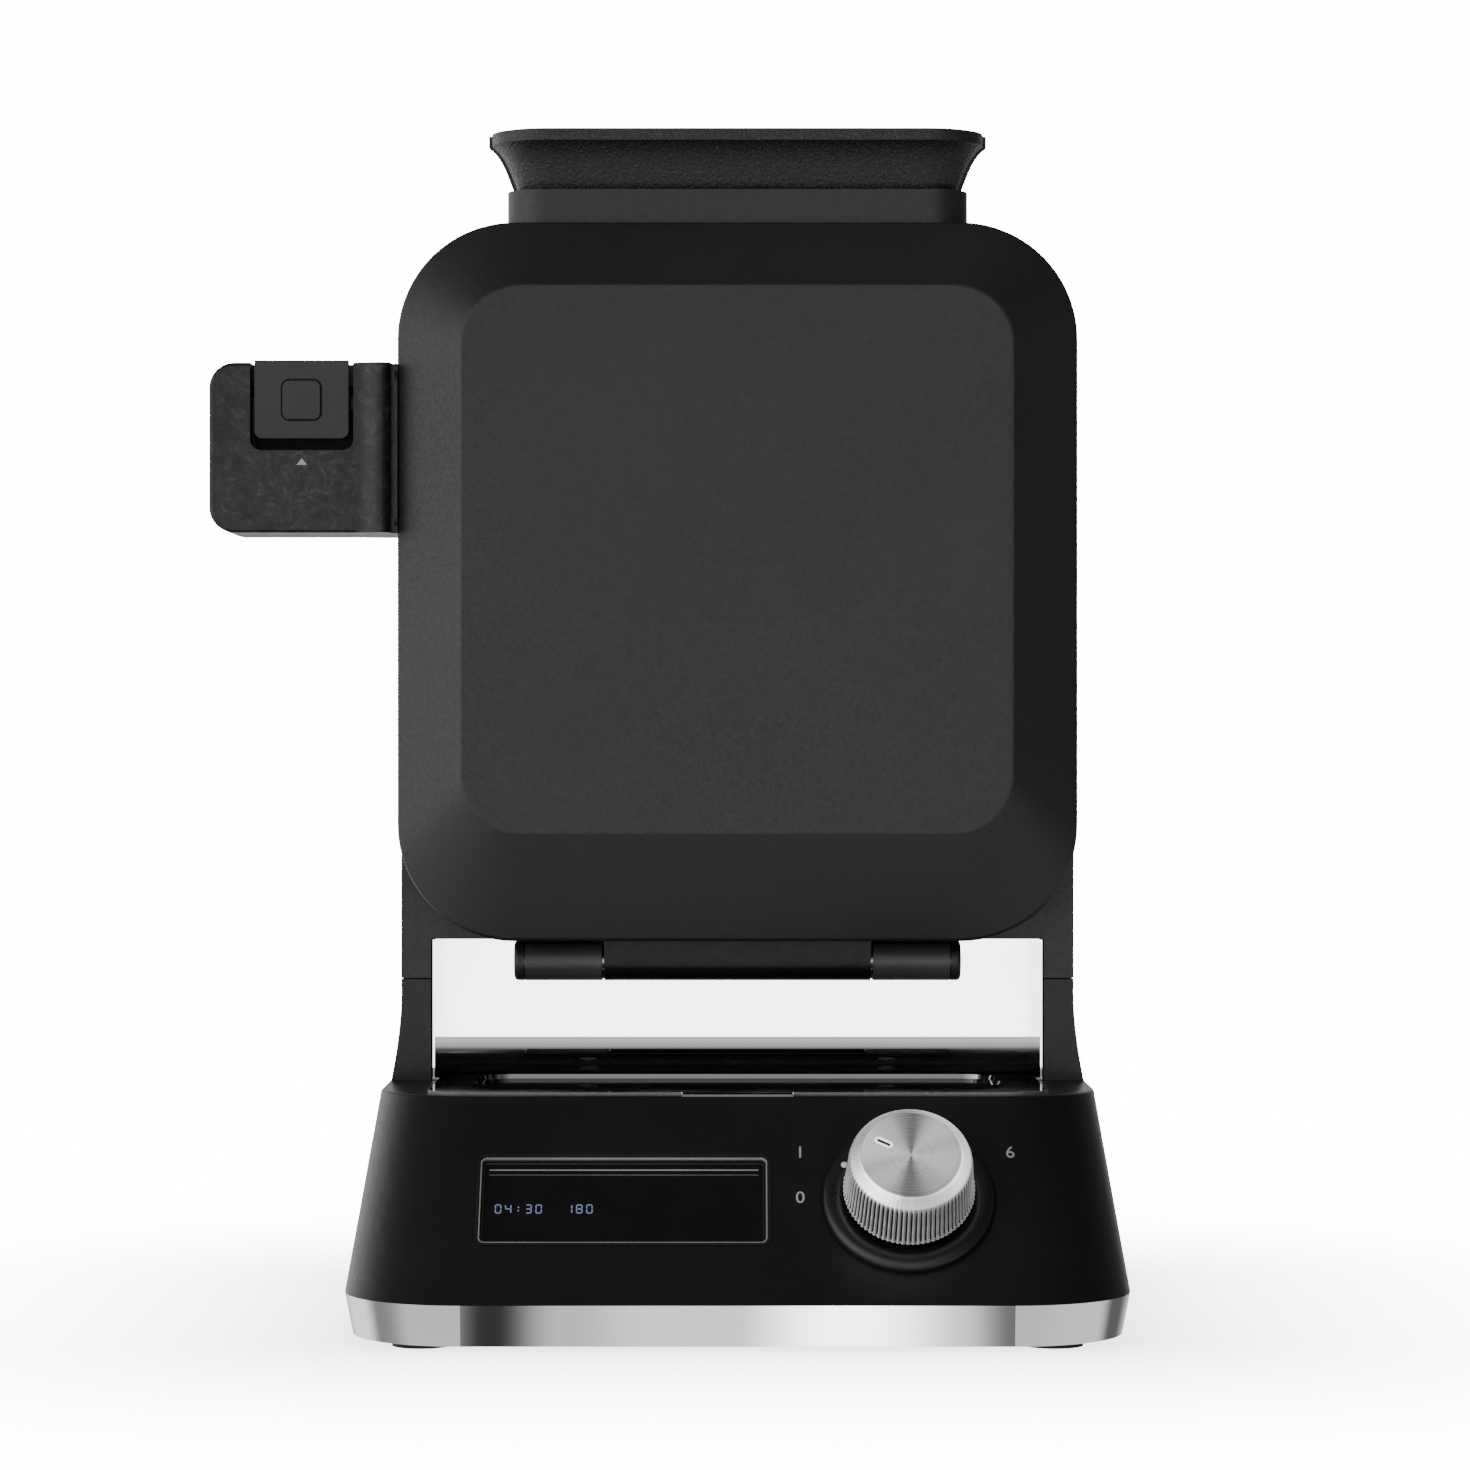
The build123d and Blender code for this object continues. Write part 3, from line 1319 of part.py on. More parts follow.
nodes = {
    "lid_shell": lid_shell,
    "lid_waffle_plate": lambda: flipped(plate_bed()),
    "lid_plate_frame": lambda: flipped(plate_frame()),
    "lid_heat_shield": lambda: flipped(heat_shield()),
    "lid_heating_element": lambda: flipped(heating_element()),
    "lid_thermostat": lambda: flipped(thermostat()),
    "lid_plate_screws": lambda: Compound(children=[flipped(s) for s in plate_screws().solids()]),
    "lid_funnel": lambda: flipped(funnel_half(0)),
    "lid_handle": lid_handle,
    "hinge_barrel": hinge_barrel,
    "latch_button": latch_button,
    "latch_badge": latch_badge,
    "latch_pin": latch_pin,
    "latch_springs": latch_springs,
    "rear_housing": rear_housing,
    "rear_cover": rear_cover,
    "rear_cover_screws": cover_screws,
    "rear_waffle_plate": plate_bed,
    "rear_plate_frame": plate_frame,
    "rear_heat_shield": heat_shield,
    "rear_heating_element": heating_element,
    "rear_thermostat": thermostat,
    "rear_plate_screws": plate_screws,
    "thermal_fuse": thermal_fuse,
    "rear_funnel": lambda: funnel_half(funnel_rear_extra),
    "rear_handle": rear_handle,
    "latch_catch": latch_catch,
    "hinge_bracket": hinge_bracket,
    "hinge_knuckle_right": hinge_knuckle,
    "hinge_knuckle_left": lambda: mirror(hinge_knuckle(), about=Plane.YZ),
    "hinge_pin": hinge_pin,
    "base_shell": base_shell,
    "base_band": base_band,
    "bottom_cover": bottom_cover,
    "feet": feet,
    "splash_liner": splash_liner,
    "display_window": display_window,
    "display_bezel": display_bezel,
    "display_module": display_module,
    "control_board": control_board,
    "rotary_encoder": encoder,
    "dial_ring": dial_ring,
    "knob_shaft": knob_shaft,
    "knob_hub": knob_hub,
    "knob_cap": knob_cap,
    "knob_pointer": knob_pointer,
    "power_board": power_board,
    "power_relay": lambda: on_power_board(relay_x, relay_y, relay_width, relay_depth, relay_height),
    "power_transformer": lambda: on_power_board(
        transformer_x, transformer_y, transformer_width, transformer_depth, transformer_height),
    "terminal_block": lambda: on_power_board(
        terminal_x, terminal_y, terminal_width, terminal_depth, terminal_height),
    "stand_harness": stand_harness,
    "cord_gland": cord_gland,
    "lid_harness": lid_harness,
    "lid_handle_bolts": lambda: Compound(children=[flipped(b) for b in handle_bolts().solids()]),
    "rear_handle_bolts": handle_bolts,
    "bracket_screws": bracket_screws,
}

os.makedirs("parts", exist_ok=True)
for name, make in nodes.items():
    export_step(make(), f"parts/{name}.step")
    print(name)
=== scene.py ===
import json
import math
import bpy
from mathutils import Matrix, Vector


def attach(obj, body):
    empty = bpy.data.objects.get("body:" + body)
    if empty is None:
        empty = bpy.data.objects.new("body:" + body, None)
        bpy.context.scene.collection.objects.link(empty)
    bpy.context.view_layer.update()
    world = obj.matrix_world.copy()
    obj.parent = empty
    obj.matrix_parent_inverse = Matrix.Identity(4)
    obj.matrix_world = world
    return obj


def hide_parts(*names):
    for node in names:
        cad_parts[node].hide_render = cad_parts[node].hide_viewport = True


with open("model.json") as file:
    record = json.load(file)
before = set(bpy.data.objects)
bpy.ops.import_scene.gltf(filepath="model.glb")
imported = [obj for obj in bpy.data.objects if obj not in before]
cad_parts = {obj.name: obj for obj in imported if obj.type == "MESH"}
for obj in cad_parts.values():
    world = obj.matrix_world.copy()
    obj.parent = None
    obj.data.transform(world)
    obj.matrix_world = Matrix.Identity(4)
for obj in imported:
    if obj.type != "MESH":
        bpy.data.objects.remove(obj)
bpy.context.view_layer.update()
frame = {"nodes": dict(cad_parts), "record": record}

# Sizes are in millimetres, multiplied by MM where they are used, unless a comment says metres
MM = 0.001

# The control slope, in metres: its upper edge, the way down it, the way out of it, and the knob's place
SLOPE_EDGE = Vector((0.0, -0.0630, 0.0729))
SLOPE_DOWN = Vector((0.0, -0.63087, -0.77589))
SLOPE_OUT = Vector((0.0, -0.77589, 0.63087))
KNOB_X = 0.0513
KNOB_DROP = 0.0374


def slope_point(x, drop, lift):
    """Point on the control slope: across, down from the deck's edge, out from the face."""
    return Vector((x, 0.0, 0.0)) + SLOPE_EDGE + SLOPE_DOWN * drop + SLOPE_OUT * lift


def slope_matrix(x, drop, lift):
    """Matrix whose X runs across, Y up the slope and Z out from it."""
    matrix = Matrix((Vector((1.0, 0.0, 0.0)), -SLOPE_DOWN, SLOPE_OUT)).transposed().to_4x4()
    matrix.translation = slope_point(x, drop, lift)
    return matrix


# Materials

class Look:
    """A material under construction, with short calls for its nodes."""

    def __init__(self, name, **sockets):
        self.material = bpy.data.materials.new(name)
        self.material.use_nodes = True
        self.nodes = self.material.node_tree.nodes
        self.links = self.material.node_tree.links
        self.shader = self.nodes["Principled BSDF"]
        self.coords = self.add("ShaderNodeTexCoord")
        self.height = None
        for socket, value in sockets.items():
            self.shader.inputs[socket.replace("_", " ")].default_value = value

    def add(self, kind, **settings):
        node = self.nodes.new(kind)
        for key, value in settings.items():
            setattr(node, key, value)
        return node

    def join(self, source, target):
        self.links.new(source, target)

    def stretched(self, scale):
        """Coordinates scaled per axis; noise is drawn out along an axis with a small scale."""
        node = self.add("ShaderNodeMapping")
        node.inputs["Scale"].default_value = scale
        self.join(self.coords.outputs["Object"], node.inputs["Vector"])
        return node.outputs["Vector"]

    def noise(self, size, detail=2.0, rough=0.5, vector=None, seed=0.0):
        """Noise whose features are about size metres across."""
        node = self.add("ShaderNodeTexNoise", noise_dimensions="4D")
        node.inputs["Scale"].default_value = 1.0 / size
        node.inputs["Detail"].default_value = detail
        node.inputs["Roughness"].default_value = rough
        node.inputs["W"].default_value = seed
        self.join(vector or self.coords.outputs["Object"], node.inputs["Vector"])
        return node.outputs["Fac"]

    def cells(self, size):
        """Distance to the nearest of points about size metres apart."""
        node = self.add("ShaderNodeTexVoronoi", feature="F1")
        node.inputs["Scale"].default_value = 1.0 / size
        self.join(self.coords.outputs["Object"], node.inputs["Vector"])
        return node.outputs["Distance"]

    def ramp(self, value, *stops):
        """Colours at places along a value; a plain number is a grey."""
        node = self.add("ShaderNodeValToRGB")
        ramp = node.color_ramp
        while len(ramp.elements) < len(stops):
            ramp.elements.new(0.5)
        for element, (place, colour) in zip(ramp.elements, stops):
            element.position = place
            if isinstance(colour, (int, float)):
                colour = (colour, colour, colour)
            element.color = (*colour, 1.0)
        self.join(value, node.inputs["Fac"])
        return node.outputs["Color"]

    def spread(self, value, low, high, from_low, from_high):
        """A value's own range mapped to low and high."""
        node = self.add("ShaderNodeMapRange")
        node.inputs["From Min"].default_value = from_low
        node.inputs["From Max"].default_value = from_high
        node.inputs["To Min"].default_value = low
        node.inputs["To Max"].default_value = high
        self.join(value, node.inputs["Value"])
        return node.outputs["Result"]

    def colour(self, output):
        self.join(output, self.shader.inputs["Base Color"])

    def rough(self, output):
        self.join(output, self.shader.inputs["Roughness"])

    def bump(self, output, depth, strength):
        """Adds relief, depth metres deep; later calls lie on top of earlier ones."""
        node = self.add("ShaderNodeBump")
        node.inputs["Strength"].default_value = strength
        node.inputs["Distance"].default_value = depth
        self.join(output, node.inputs["Height"])
        if self.height is not None:
            self.join(self.height, node.inputs["Normal"])
        self.height = node.outputs["Normal"]
        self.join(self.height, self.shader.inputs["Normal"])


def powder_coat():
    """Satin black powder coat: fine orange peel and faint dust."""
    look = Look("powder_coat", Metallic=0.0, Coat_Weight=0.0)
    cloud = look.noise(0.05, 3.0)
    look.colour(look.ramp(cloud, (0.3, (0.0128, 0.0128, 0.0132)), (0.7, (0.0168, 0.0168, 0.0172))))
    look.rough(look.spread(look.noise(0.0011, 2.0, seed=3.0), 0.36, 0.50, 0.3, 0.7))
    look.bump(look.noise(0.0009, 2.0), 0.00005, 0.55)
    look.bump(look.noise(0.0032, 1.0, seed=7.0), 0.00006, 0.35)
    return look.material


def spark_plastic():
    """Coarse spark-eroded black plastic with small bright glints, from low roughness and bumps and also
    painted into the colour, which is lighter on the grain's raised peaks.
    """
    look = Look("spark_plastic")
    grain = look.noise(0.00085, 4.0, 0.65)
    # Painted glints: the colour is lighter on the grain's raised peaks
    look.colour(look.ramp(grain, (0.35, 0.006), (0.55, 0.016), (0.75, 0.062)))
    look.rough(look.spread(look.noise(0.0007, 2.0, seed=2.0), 0.22, 0.55, 0.35, 0.65))
    look.bump(grain, 0.00032, 1.0)
    look.bump(look.cells(0.0013), 0.00012, 0.6)
    return look.material


def phenolic():
    """Mottled dark moulding with flowing pale streaks, as heat-proof handles have."""
    look = Look("phenolic", Specular_IOR_Level=0.42)
    drift = look.add("ShaderNodeTexNoise", noise_dimensions="3D")
    drift.inputs["Scale"].default_value = 110.0
    drift.inputs["Detail"].default_value = 2.0
    look.join(look.coords.outputs["Object"], drift.inputs["Vector"])
    bent = look.add("ShaderNodeVectorMath", operation="MULTIPLY_ADD")
    look.join(drift.outputs["Color"], bent.inputs[0])
    bent.inputs[1].default_value = (0.014, 0.014, 0.014)
    look.join(look.coords.outputs["Object"], bent.inputs[2])
    streaks = look.noise(0.0032, 6.0, 0.68, vector=bent.outputs["Vector"])
    clouds = look.noise(0.016, 2.0, 0.5, seed=4.0)
    base = look.ramp(streaks, (0.30, 0.004), (0.48, 0.010), (0.57, 0.021), (0.66, 0.052), (0.78, 0.085))
    mix = look.add("ShaderNodeMix", data_type="RGBA", blend_type="MULTIPLY")
    mix.inputs["Factor"].default_value = 1.0
    look.join(base, mix.inputs["A"])
    look.join(look.ramp(clouds, (0.3, 0.55), (0.7, 1.25)), mix.inputs["B"])
    look.colour(mix.outputs["Result"])
    look.rough(look.spread(streaks, 0.40, 0.26, 0.35, 0.70))
    look.bump(streaks, 0.00010, 0.5)
    look.bump(look.noise(0.0006, 3.0, seed=9.0), 0.00005, 0.5)
    return look.material


def satin_plastic(name, tone, low, high, grain=0.00045, relief=0.00003, gloss=0.5, tint=(1, 1, 1)):
    """Fine moulded plastic, with roughness from low to high."""
    look = Look(name, Specular_IOR_Level=gloss)
    cloud = look.noise(0.04, 2.0)
    darker = [tone * t * 0.85 for t in tint]
    lighter = [tone * t * 1.15 for t in tint]
    look.colour(look.ramp(cloud, (0.3, darker), (0.7, lighter)))
    look.rough(look.spread(look.noise(0.0015, 2.0, seed=5.0), low, high, 0.3, 0.7))
    look.bump(look.noise(grain, 2.0), relief, 0.5)
    return look.material


def steel(name, tone, low, high, along=(1, 1, 1), size=0.0006, relief=0.000012):
    """Rolled or polished steel with faint drawn lines; along is how the lines are squeezed per axis."""
    look = Look(name, Metallic=1.0)
    lines = look.noise(size, 3.0, vector=look.stretched(along))
    look.colour(look.ramp(look.noise(0.03, 2.0, seed=1.0), (0.3, [t * 0.96 for t in tone]), (0.7, tone)))
    look.rough(look.spread(lines, low, high, 0.3, 0.7))
    look.bump(lines, relief, 0.5)
    return look.material


def nonstick():
    """Dark non-stick coating over cast metal, with fine pale specks."""
    look = Look("nonstick")
    specks = look.cells(0.0016)
    look.colour(look.ramp(specks, (0.05, 0.09), (0.12, 0.018), (0.6, 0.013)))
    look.rough(look.spread(look.noise(0.002, 2.0), 0.28, 0.42, 0.3, 0.7))
    look.bump(look.noise(0.0008, 3.0), 0.00008, 0.6)
    look.bump(look.noise(0.006, 1.0, seed=2.0), 0.00015, 0.3)
    return look.material


def smoked_pane():
    """Smoked glossy pane over the display."""
    look = Look("smoked_pane", IOR=1.49, Coat_Weight=0.0)
    smear = look.noise(0.012, 3.0)
    look.colour(look.ramp(smear, (0.3, (0.0068, 0.0068, 0.0074)), (0.7, (0.0086, 0.0086, 0.0092))))
    look.rough(look.spread(smear, 0.03, 0.07, 0.3, 0.7))
    look.bump(look.noise(0.03, 1.0, seed=3.0), 0.00004, 0.2)
    return look.material


def turned_aluminium(name, tone, spread, low, high, relief):
    """Aluminium turned about its own axis; spread is how far light fans out from the middle."""
    look = Look(name, Metallic=1.0, Anisotropic=spread, Anisotropic_Rotation=0.25)
    separate = look.add("ShaderNodeSeparateXYZ")
    look.join(look.coords.outputs["Object"], separate.inputs["Vector"])
    flat = look.add("ShaderNodeCombineXYZ")
    look.join(separate.outputs["X"], flat.inputs["X"])
    look.join(separate.outputs["Y"], flat.inputs["Y"])
    length = look.add("ShaderNodeVectorMath", operation="LENGTH")
    look.join(flat.outputs["Vector"], length.inputs[0])
    rings = look.add("ShaderNodeTexNoise", noise_dimensions="1D")
    rings.inputs["Scale"].default_value = 5200.0
    rings.inputs["Detail"].default_value = 2.0
    look.join(length.outputs["Value"], rings.inputs["W"])
    broad = look.add("ShaderNodeTexNoise", noise_dimensions="1D")
    broad.inputs["Scale"].default_value = 900.0
    look.join(length.outputs["Value"], broad.inputs["W"])
    look.colour(look.ramp(broad.outputs["Fac"], (0.35, [tone * t for t in (0.86, 0.865, 0.87)]),
                          (0.65, [tone * t for t in (0.99, 0.99, 1.0)])))
    look.rough(look.spread(rings.outputs["Fac"], low, high, 0.3, 0.7))
    look.bump(rings.outputs["Fac"], relief, 0.35)
    if spread > 0:
        tangent = look.add("ShaderNodeTangent", direction_type="RADIAL", axis="Z")
        look.join(tangent.outputs["Tangent"], look.shader.inputs["Tangent"])
    return look.material


def board():
    """Solder-masked circuit board with faint tracks."""
    look = Look("board", Roughness=0.35)
    tracks = look.add("ShaderNodeTexBrick")
    tracks.inputs["Scale"].default_value = 320.0
    tracks.inputs["Mortar Size"].default_value = 0.06
    tracks.inputs["Color1"].default_value = (0.008, 0.070, 0.030, 1)
    tracks.inputs["Color2"].default_value = (0.010, 0.082, 0.036, 1)
    tracks.inputs["Mortar"].default_value = (0.020, 0.130, 0.060, 1)
    look.join(look.coords.outputs["Object"], tracks.inputs["Vector"])
    look.colour(tracks.outputs["Color"])
    look.bump(look.noise(0.001, 2.0), 0.00004, 0.4)
    return look.material


def woven_sleeve():
    """Woven heat-proof sleeve round the leads."""
    look = Look("woven_sleeve", Roughness=0.85)
    weave = look.add("ShaderNodeTexWave", wave_type="BANDS", bands_direction="DIAGONAL")
    weave.inputs["Scale"].default_value = 260.0
    weave.inputs["Distortion"].default_value = 1.5
    look.join(look.coords.outputs["Object"], weave.inputs["Vector"])
    look.colour(look.ramp(weave.outputs["Fac"], (0.2, (0.30, 0.28, 0.24)), (0.8, (0.52, 0.50, 0.44))))
    look.bump(weave.outputs["Fac"], 0.0003, 0.8)
    return look.material


def rubber():
    """Matt rubber with moulding bloom."""
    look = Look("rubber", Roughness=0.75)
    look.colour(look.ramp(look.noise(0.006, 3.0), (0.3, 0.012), (0.7, 0.022)))
    look.bump(look.noise(0.0006, 3.0), 0.0001, 0.6)
    return look.material


def print_ink(name, tone):
    """Screen-printed ink with slightly uneven cover."""
    look = Look(name, Roughness=0.5)
    look.colour(look.ramp(look.noise(0.0006, 2.0), (0.3, [t * 0.82 for t in tone]), (0.6, tone)))
    look.bump(look.noise(0.0004, 2.0), 0.00001, 0.4)
    return look.material


def lit_segments():
    """Blue-white lit segments behind the pane."""
    look = Look("lit_segments", Base_Color=(0.01, 0.01, 0.02, 1), Roughness=0.4)
    glow = look.ramp(look.noise(0.0012, 2.0), (0.3, (0.22, 0.26, 0.48)), (0.7, (0.30, 0.35, 0.60)))
    look.join(glow, look.shader.inputs["Emission Color"])
    look.shader.inputs["Emission Strength"].default_value = 0.8
    return look.material


MATERIALS = {
    "painted_black": powder_coat(),
    "nonstick": nonstick(),
    "plain_steel": steel("plain_steel", (0.50, 0.50, 0.50), 0.30, 0.45, (1, 1, 14), 0.0012),
    "element_sheath": steel("element_sheath", (0.20, 0.19, 0.18), 0.45, 0.60, (1, 1, 1), 0.002, 0.00003),
    "zinc_steel": steel("zinc_steel", (0.58, 0.57, 0.54), 0.28, 0.42, (1, 1, 1), 0.001),
    "textured_black": spark_plastic(),
    "handle_plastic": phenolic(),
    "base_black": satin_plastic("base_black", 0.0118, 0.28, 0.36, relief=0.00001, gloss=0.35),
    "satin_steel": steel("satin_steel", (0.84, 0.84, 0.85), 0.008, 0.016, (1, 1, 30), 0.004, 0.0000004),
    "dark_steel": steel("dark_steel", (0.012, 0.012, 0.012), 0.55, 0.70, (1, 1, 1), 0.001),
    "under_plastic": satin_plastic("under_plastic", 0.016, 0.45, 0.60, 0.0008, 0.00006),
    "foot_rubber": rubber(),
    "mirror_steel": steel("mirror_steel", (0.88, 0.88, 0.885), 0.035, 0.07, (1, 1, 1), 0.02, 0.00001),
    "display_gloss": smoked_pane(),
    "bezel_dark": satin_plastic("bezel_dark", 0.020, 0.10, 0.16, 0.0006, 0.00001),
    "board_black": satin_plastic("board_black", 0.010, 0.40, 0.55, 0.0008, 0.00005),
    "board_green": board(),
    "knob_aluminium": turned_aluminium("knob_aluminium", 0.34, 1.0, 0.26, 0.34, 0.00002),
    "mark_white": print_ink("mark_white", (0.80, 0.80, 0.80)),
    "wire_sleeve": woven_sleeve(),
}

# Looks for the scene's own pieces
# Near-black for painted shade, laid in grooves, a notch, gaps and a pocket where shade falls
PAINTED_SHADE_BLACK = satin_plastic("painted_shade_black", 0.0016, 0.7, 0.85)
INK_GREY = print_ink("ink_grey", (0.42, 0.42, 0.42))
LIT = lit_segments()
# Copies of the knob's one turned aluminium at tones set to how light falls on each band: brightest on the
# bevel and foot as a painted highlight, near black in the rib grooves as painted shade
BEVEL_METAL = turned_aluminium("bevel_aluminium", 1.0, 0.95, 0.34, 0.42, 0.00001)
SKIRT_METAL = turned_aluminium("skirt_aluminium", 0.60, 0.95, 0.34, 0.42, 0.00001)
GROOVE_SHADE_METAL = turned_aluminium("groove_painted_shade", 0.07, 0.6, 0.40, 0.50, 0.00001)
# Greys for painted light: the lighter one for highlight lines on the display frame's edges, the dimmer one
# for a dimmer highlight line and for the shaded gap in front of the drip sheet
PAINTED_HIGHLIGHT_GREY = satin_plastic("painted_highlight_grey", 0.36, 0.20, 0.30, 0.0008, 0.00001)
PAINTED_LIGHT_DIM = satin_plastic("painted_light_dim", 0.14, 0.20, 0.30, 0.0008, 0.00001)

# Nodes with a look of their own; the others take their slot's
# The hinge barrel's black is darker than the housing's same paint, painted shade, and the knuckles' is
# lighter than the funnel's same plastic, painted light
BARREL_BLACK = satin_plastic("barrel_black", 0.0040, 0.30, 0.40, 0.0006, 0.00001, gloss=0.3)
KNUCKLE_BLACK = satin_plastic("knuckle_black", 0.052, 0.30, 0.42, 0.0007, 0.00004)
BUTTON_BLACK = satin_plastic("button_black", 0.021, 0.32, 0.42, 0.0007, 0.00001, 0.45, (1.04, 1.03, 0.92))
DIAL_BLACK = satin_plastic("dial_black", 0.013, 0.30, 0.38, 0.0006, 0.00001)
OWN_LOOKS = {
    "hinge_barrel": BARREL_BLACK,
    "hinge_knuckle_left": KNUCKLE_BLACK,
    "hinge_knuckle_right": KNUCKLE_BLACK,
    "latch_button": BUTTON_BLACK,
    "latch_badge": BUTTON_BLACK,
    "dial_ring": DIAL_BLACK,
}

slot_of = {row["node"]: row["material_slot"] for row in frame["record"]["subparts"]}
for name, node in frame["nodes"].items():
    material = OWN_LOOKS.get(name) or MATERIALS[slot_of[name]]
    if not node.material_slots:
        node.data.materials.append(material)
    for held in node.material_slots:
        held.material = material


# Building pieces

def placed(name, mesh, body, matrix):
    """New object from a mesh, put in its place, which rides on a body."""
    obj = bpy.data.objects.new(name, mesh)
    bpy.context.scene.collection.objects.link(obj)
    obj.matrix_world = matrix
    bpy.context.view_layer.update()
    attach(obj, body)
    return obj


def piece(name, vertices, faces, material, body, slot, matrix, smooth=False):
    """New piece from vertices and faces, which rides on a body."""
    mesh = bpy.data.meshes.new(name)
    mesh.from_pydata([tuple(v) for v in vertices], [], faces)
    mesh.materials.append(material)
    if smooth:
        mesh.shade_smooth()
    return placed(name, mesh, body, matrix)


def softened(obj, width):
    """Rounds a piece's edges."""
    bevel = obj.modifiers.new("edges", "BEVEL")
    bevel.width = width
    bevel.segments = 3
    bevel.limit_method = "ANGLE"
    obj.data.shade_smooth()
    obj.data.set_sharp_from_angle(angle=math.radians(40))


def front_matrix(x, y, z):
    """Matrix of a plane that faces the front, with its Y upwards, at a place in millimetres."""
    return Matrix.Translation((x * MM, y * MM, z * MM)) @ Matrix.Rotation(math.radians(90), 4, "X")


def wall_faces(rows, count, closed):
    """Faces between rows of count vertices each; a closed wall joins its last row to its first."""
    faces = []
    for row in range(rows if closed else rows - 1):
        low = row * count
        high = (row + 1) % rows * count
        for step in range(count):
            after = (step + 1) % count
            faces.append((low + step, low + after, high + after, high + step))
    return faces


def turned(profile, count, radius_at=None):
    """Vertices of a profile turned about Z; radius_at(row, step, radius) may change a radius."""
    vertices = []
    for row, (radius, height) in enumerate(profile):
        for step in range(count):
            angle = 2 * math.pi * step / count
            r = radius if radius_at is None else radius_at(row, step, radius)
            vertices.append((r * math.cos(angle), r * math.sin(angle), height))
    return vertices


def lathe(profile, count, radius_at=None):
    """Vertices and faces of a turned form with a flat lid at each end of its profile."""
    rows = len(profile)
    faces = wall_faces(rows, count, closed=False)
    faces.append(tuple(reversed(range(count))))
    faces.append(tuple((rows - 1) * count + step for step in range(count)))
    return turned(profile, count, radius_at), faces


def circle(radius, count=96):
    """Outline of a circle, centred."""
    return [(x, y) for x, y, height in turned([(radius, 0.0)], count)]


def prism(outline, low, high):
    """Vertices and faces of a flat outline raised from low to high."""
    count = len(outline)
    vertices = [(x, y, low) for x, y in outline] + [(x, y, high) for x, y in outline]
    lids = [tuple(reversed(range(count))), tuple(range(count, 2 * count))]
    return vertices, lids + wall_faces(2, count, closed=False)


def stadium(length, width, segments=12):
    """Outline of a slot, along X, centred."""
    radius = width / 2
    reach = length / 2 - radius
    points = []
    for side, start in ((1, -math.pi / 2), (-1, math.pi / 2)):
        for step in range(segments + 1):
            angle = start + math.pi * step / segments
            points.append((side * reach + radius * math.cos(angle), radius * math.sin(angle)))
    return points


def rounded_box(half_x, half_y, radius, segments, upper_radius=None):
    """Outline of a centred box with rounded corners, the upper two with a radius of their own if given."""
    points = []
    for quarter, (sx, sy) in enumerate(((1, 1), (-1, 1), (-1, -1), (1, -1))):
        corner = radius if upper_radius is None or sy < 0 else upper_radius
        for step in range(segments + 1):
            angle = math.pi / 2 * (quarter + step / segments)
            points.append((sx * (half_x - corner) + corner * math.cos(angle),
                           sy * (half_y - corner) + corner * math.sin(angle)))
    return points


def ring_band(inner, outer, low, high):
    """Vertices and faces of a raised band between two outlines of equal count."""
    vertices = []
    for outline, level in ((inner, low), (outer, low), (outer, high), (inner, high)):
        vertices += [(x, y, level) for x, y in outline]
    return vertices, wall_faces(4, len(inner), closed=True)


def merged(*parts):
    """Several vertex and face lists as one."""
    vertices = []
    faces = []
    for part_vertices, part_faces in parts:
        shift = len(vertices)
        vertices += list(part_vertices)
        faces += [tuple(index + shift for index in face) for face in part_faces]
    return vertices, faces


def moved(part, x, y, turn=0.0, lift=0.0):
    """A vertex and face list turned about Z, then shifted in its plane and lifted."""
    vertices, faces = part
    c, s = math.cos(turn), math.sin(turn)
    return [(x + c * vx - s * vy, y + s * vx + c * vy, vz + lift) for vx, vy, vz in vertices], faces


def polar(reach, degrees):
    """Place in the plane at a reach in millimetres and an angle."""
    return reach * MM * math.cos(math.radians(degrees)), reach * MM * math.sin(math.radians(degrees))


# Control knob

RIBS = 80
STEPS_A_RIB = 12
# Radius and height of each row, from the foot up and in to the middle, and the grooves' depth at each
KNOB_ROWS = [
    (17.2, 6.0), (19.75, 6.0), (19.85, 6.5), (19.45, 7.3), (19.30, 9.0), (18.95, 14.0), (18.60, 19.6),
    (18.45, 20.7), (18.15, 21.5), (17.9, 21.9), (14.95, 24.35), (14.75, 24.5), (14.0, 24.42), (0.6, 24.42),
]
RIB_DEPTH = [0.0, 0.65, 0.95, 0.95, 0.92, 0.90, 0.86, 0.65, 0.20, 0.0, 0.0, 0.0, 0.0, 0.0]
FACE, BEVEL, SKIRT, GROOVE = range(4)
FOOT_ROWS = 2
GROOVE_ROWS = range(2, 7)
GROOVE_STEPS = (0, 1, STEPS_A_RIB - 2, STEPS_A_RIB - 1)
BEVEL_ROW = 9


def ribbed(row, step, radius):
    """Radius of the knob's skirt, with its grooves between the ribs."""
    share = (step % STEPS_A_RIB) / STEPS_A_RIB
    wave = abs(math.sin(math.pi * share)) ** 0.6
    return radius - RIB_DEPTH[row] * MM * (1.0 - wave)


knob_frame = slope_matrix(KNOB_X, KNOB_DROP, 0.0)
vertices, faces = lathe([(r * MM, h * MM) for r, h in KNOB_ROWS], RIBS * STEPS_A_RIB, ribbed)
knob = piece("knob_turned", vertices, faces, MATERIALS["knob_aluminium"], "knob", "knob_aluminium",
             knob_frame, smooth=True)
knob.data.set_sharp_from_angle(angle=math.radians(32))
for metal in (BEVEL_METAL, SKIRT_METAL, GROOVE_SHADE_METAL):
    knob.data.materials.append(metal)
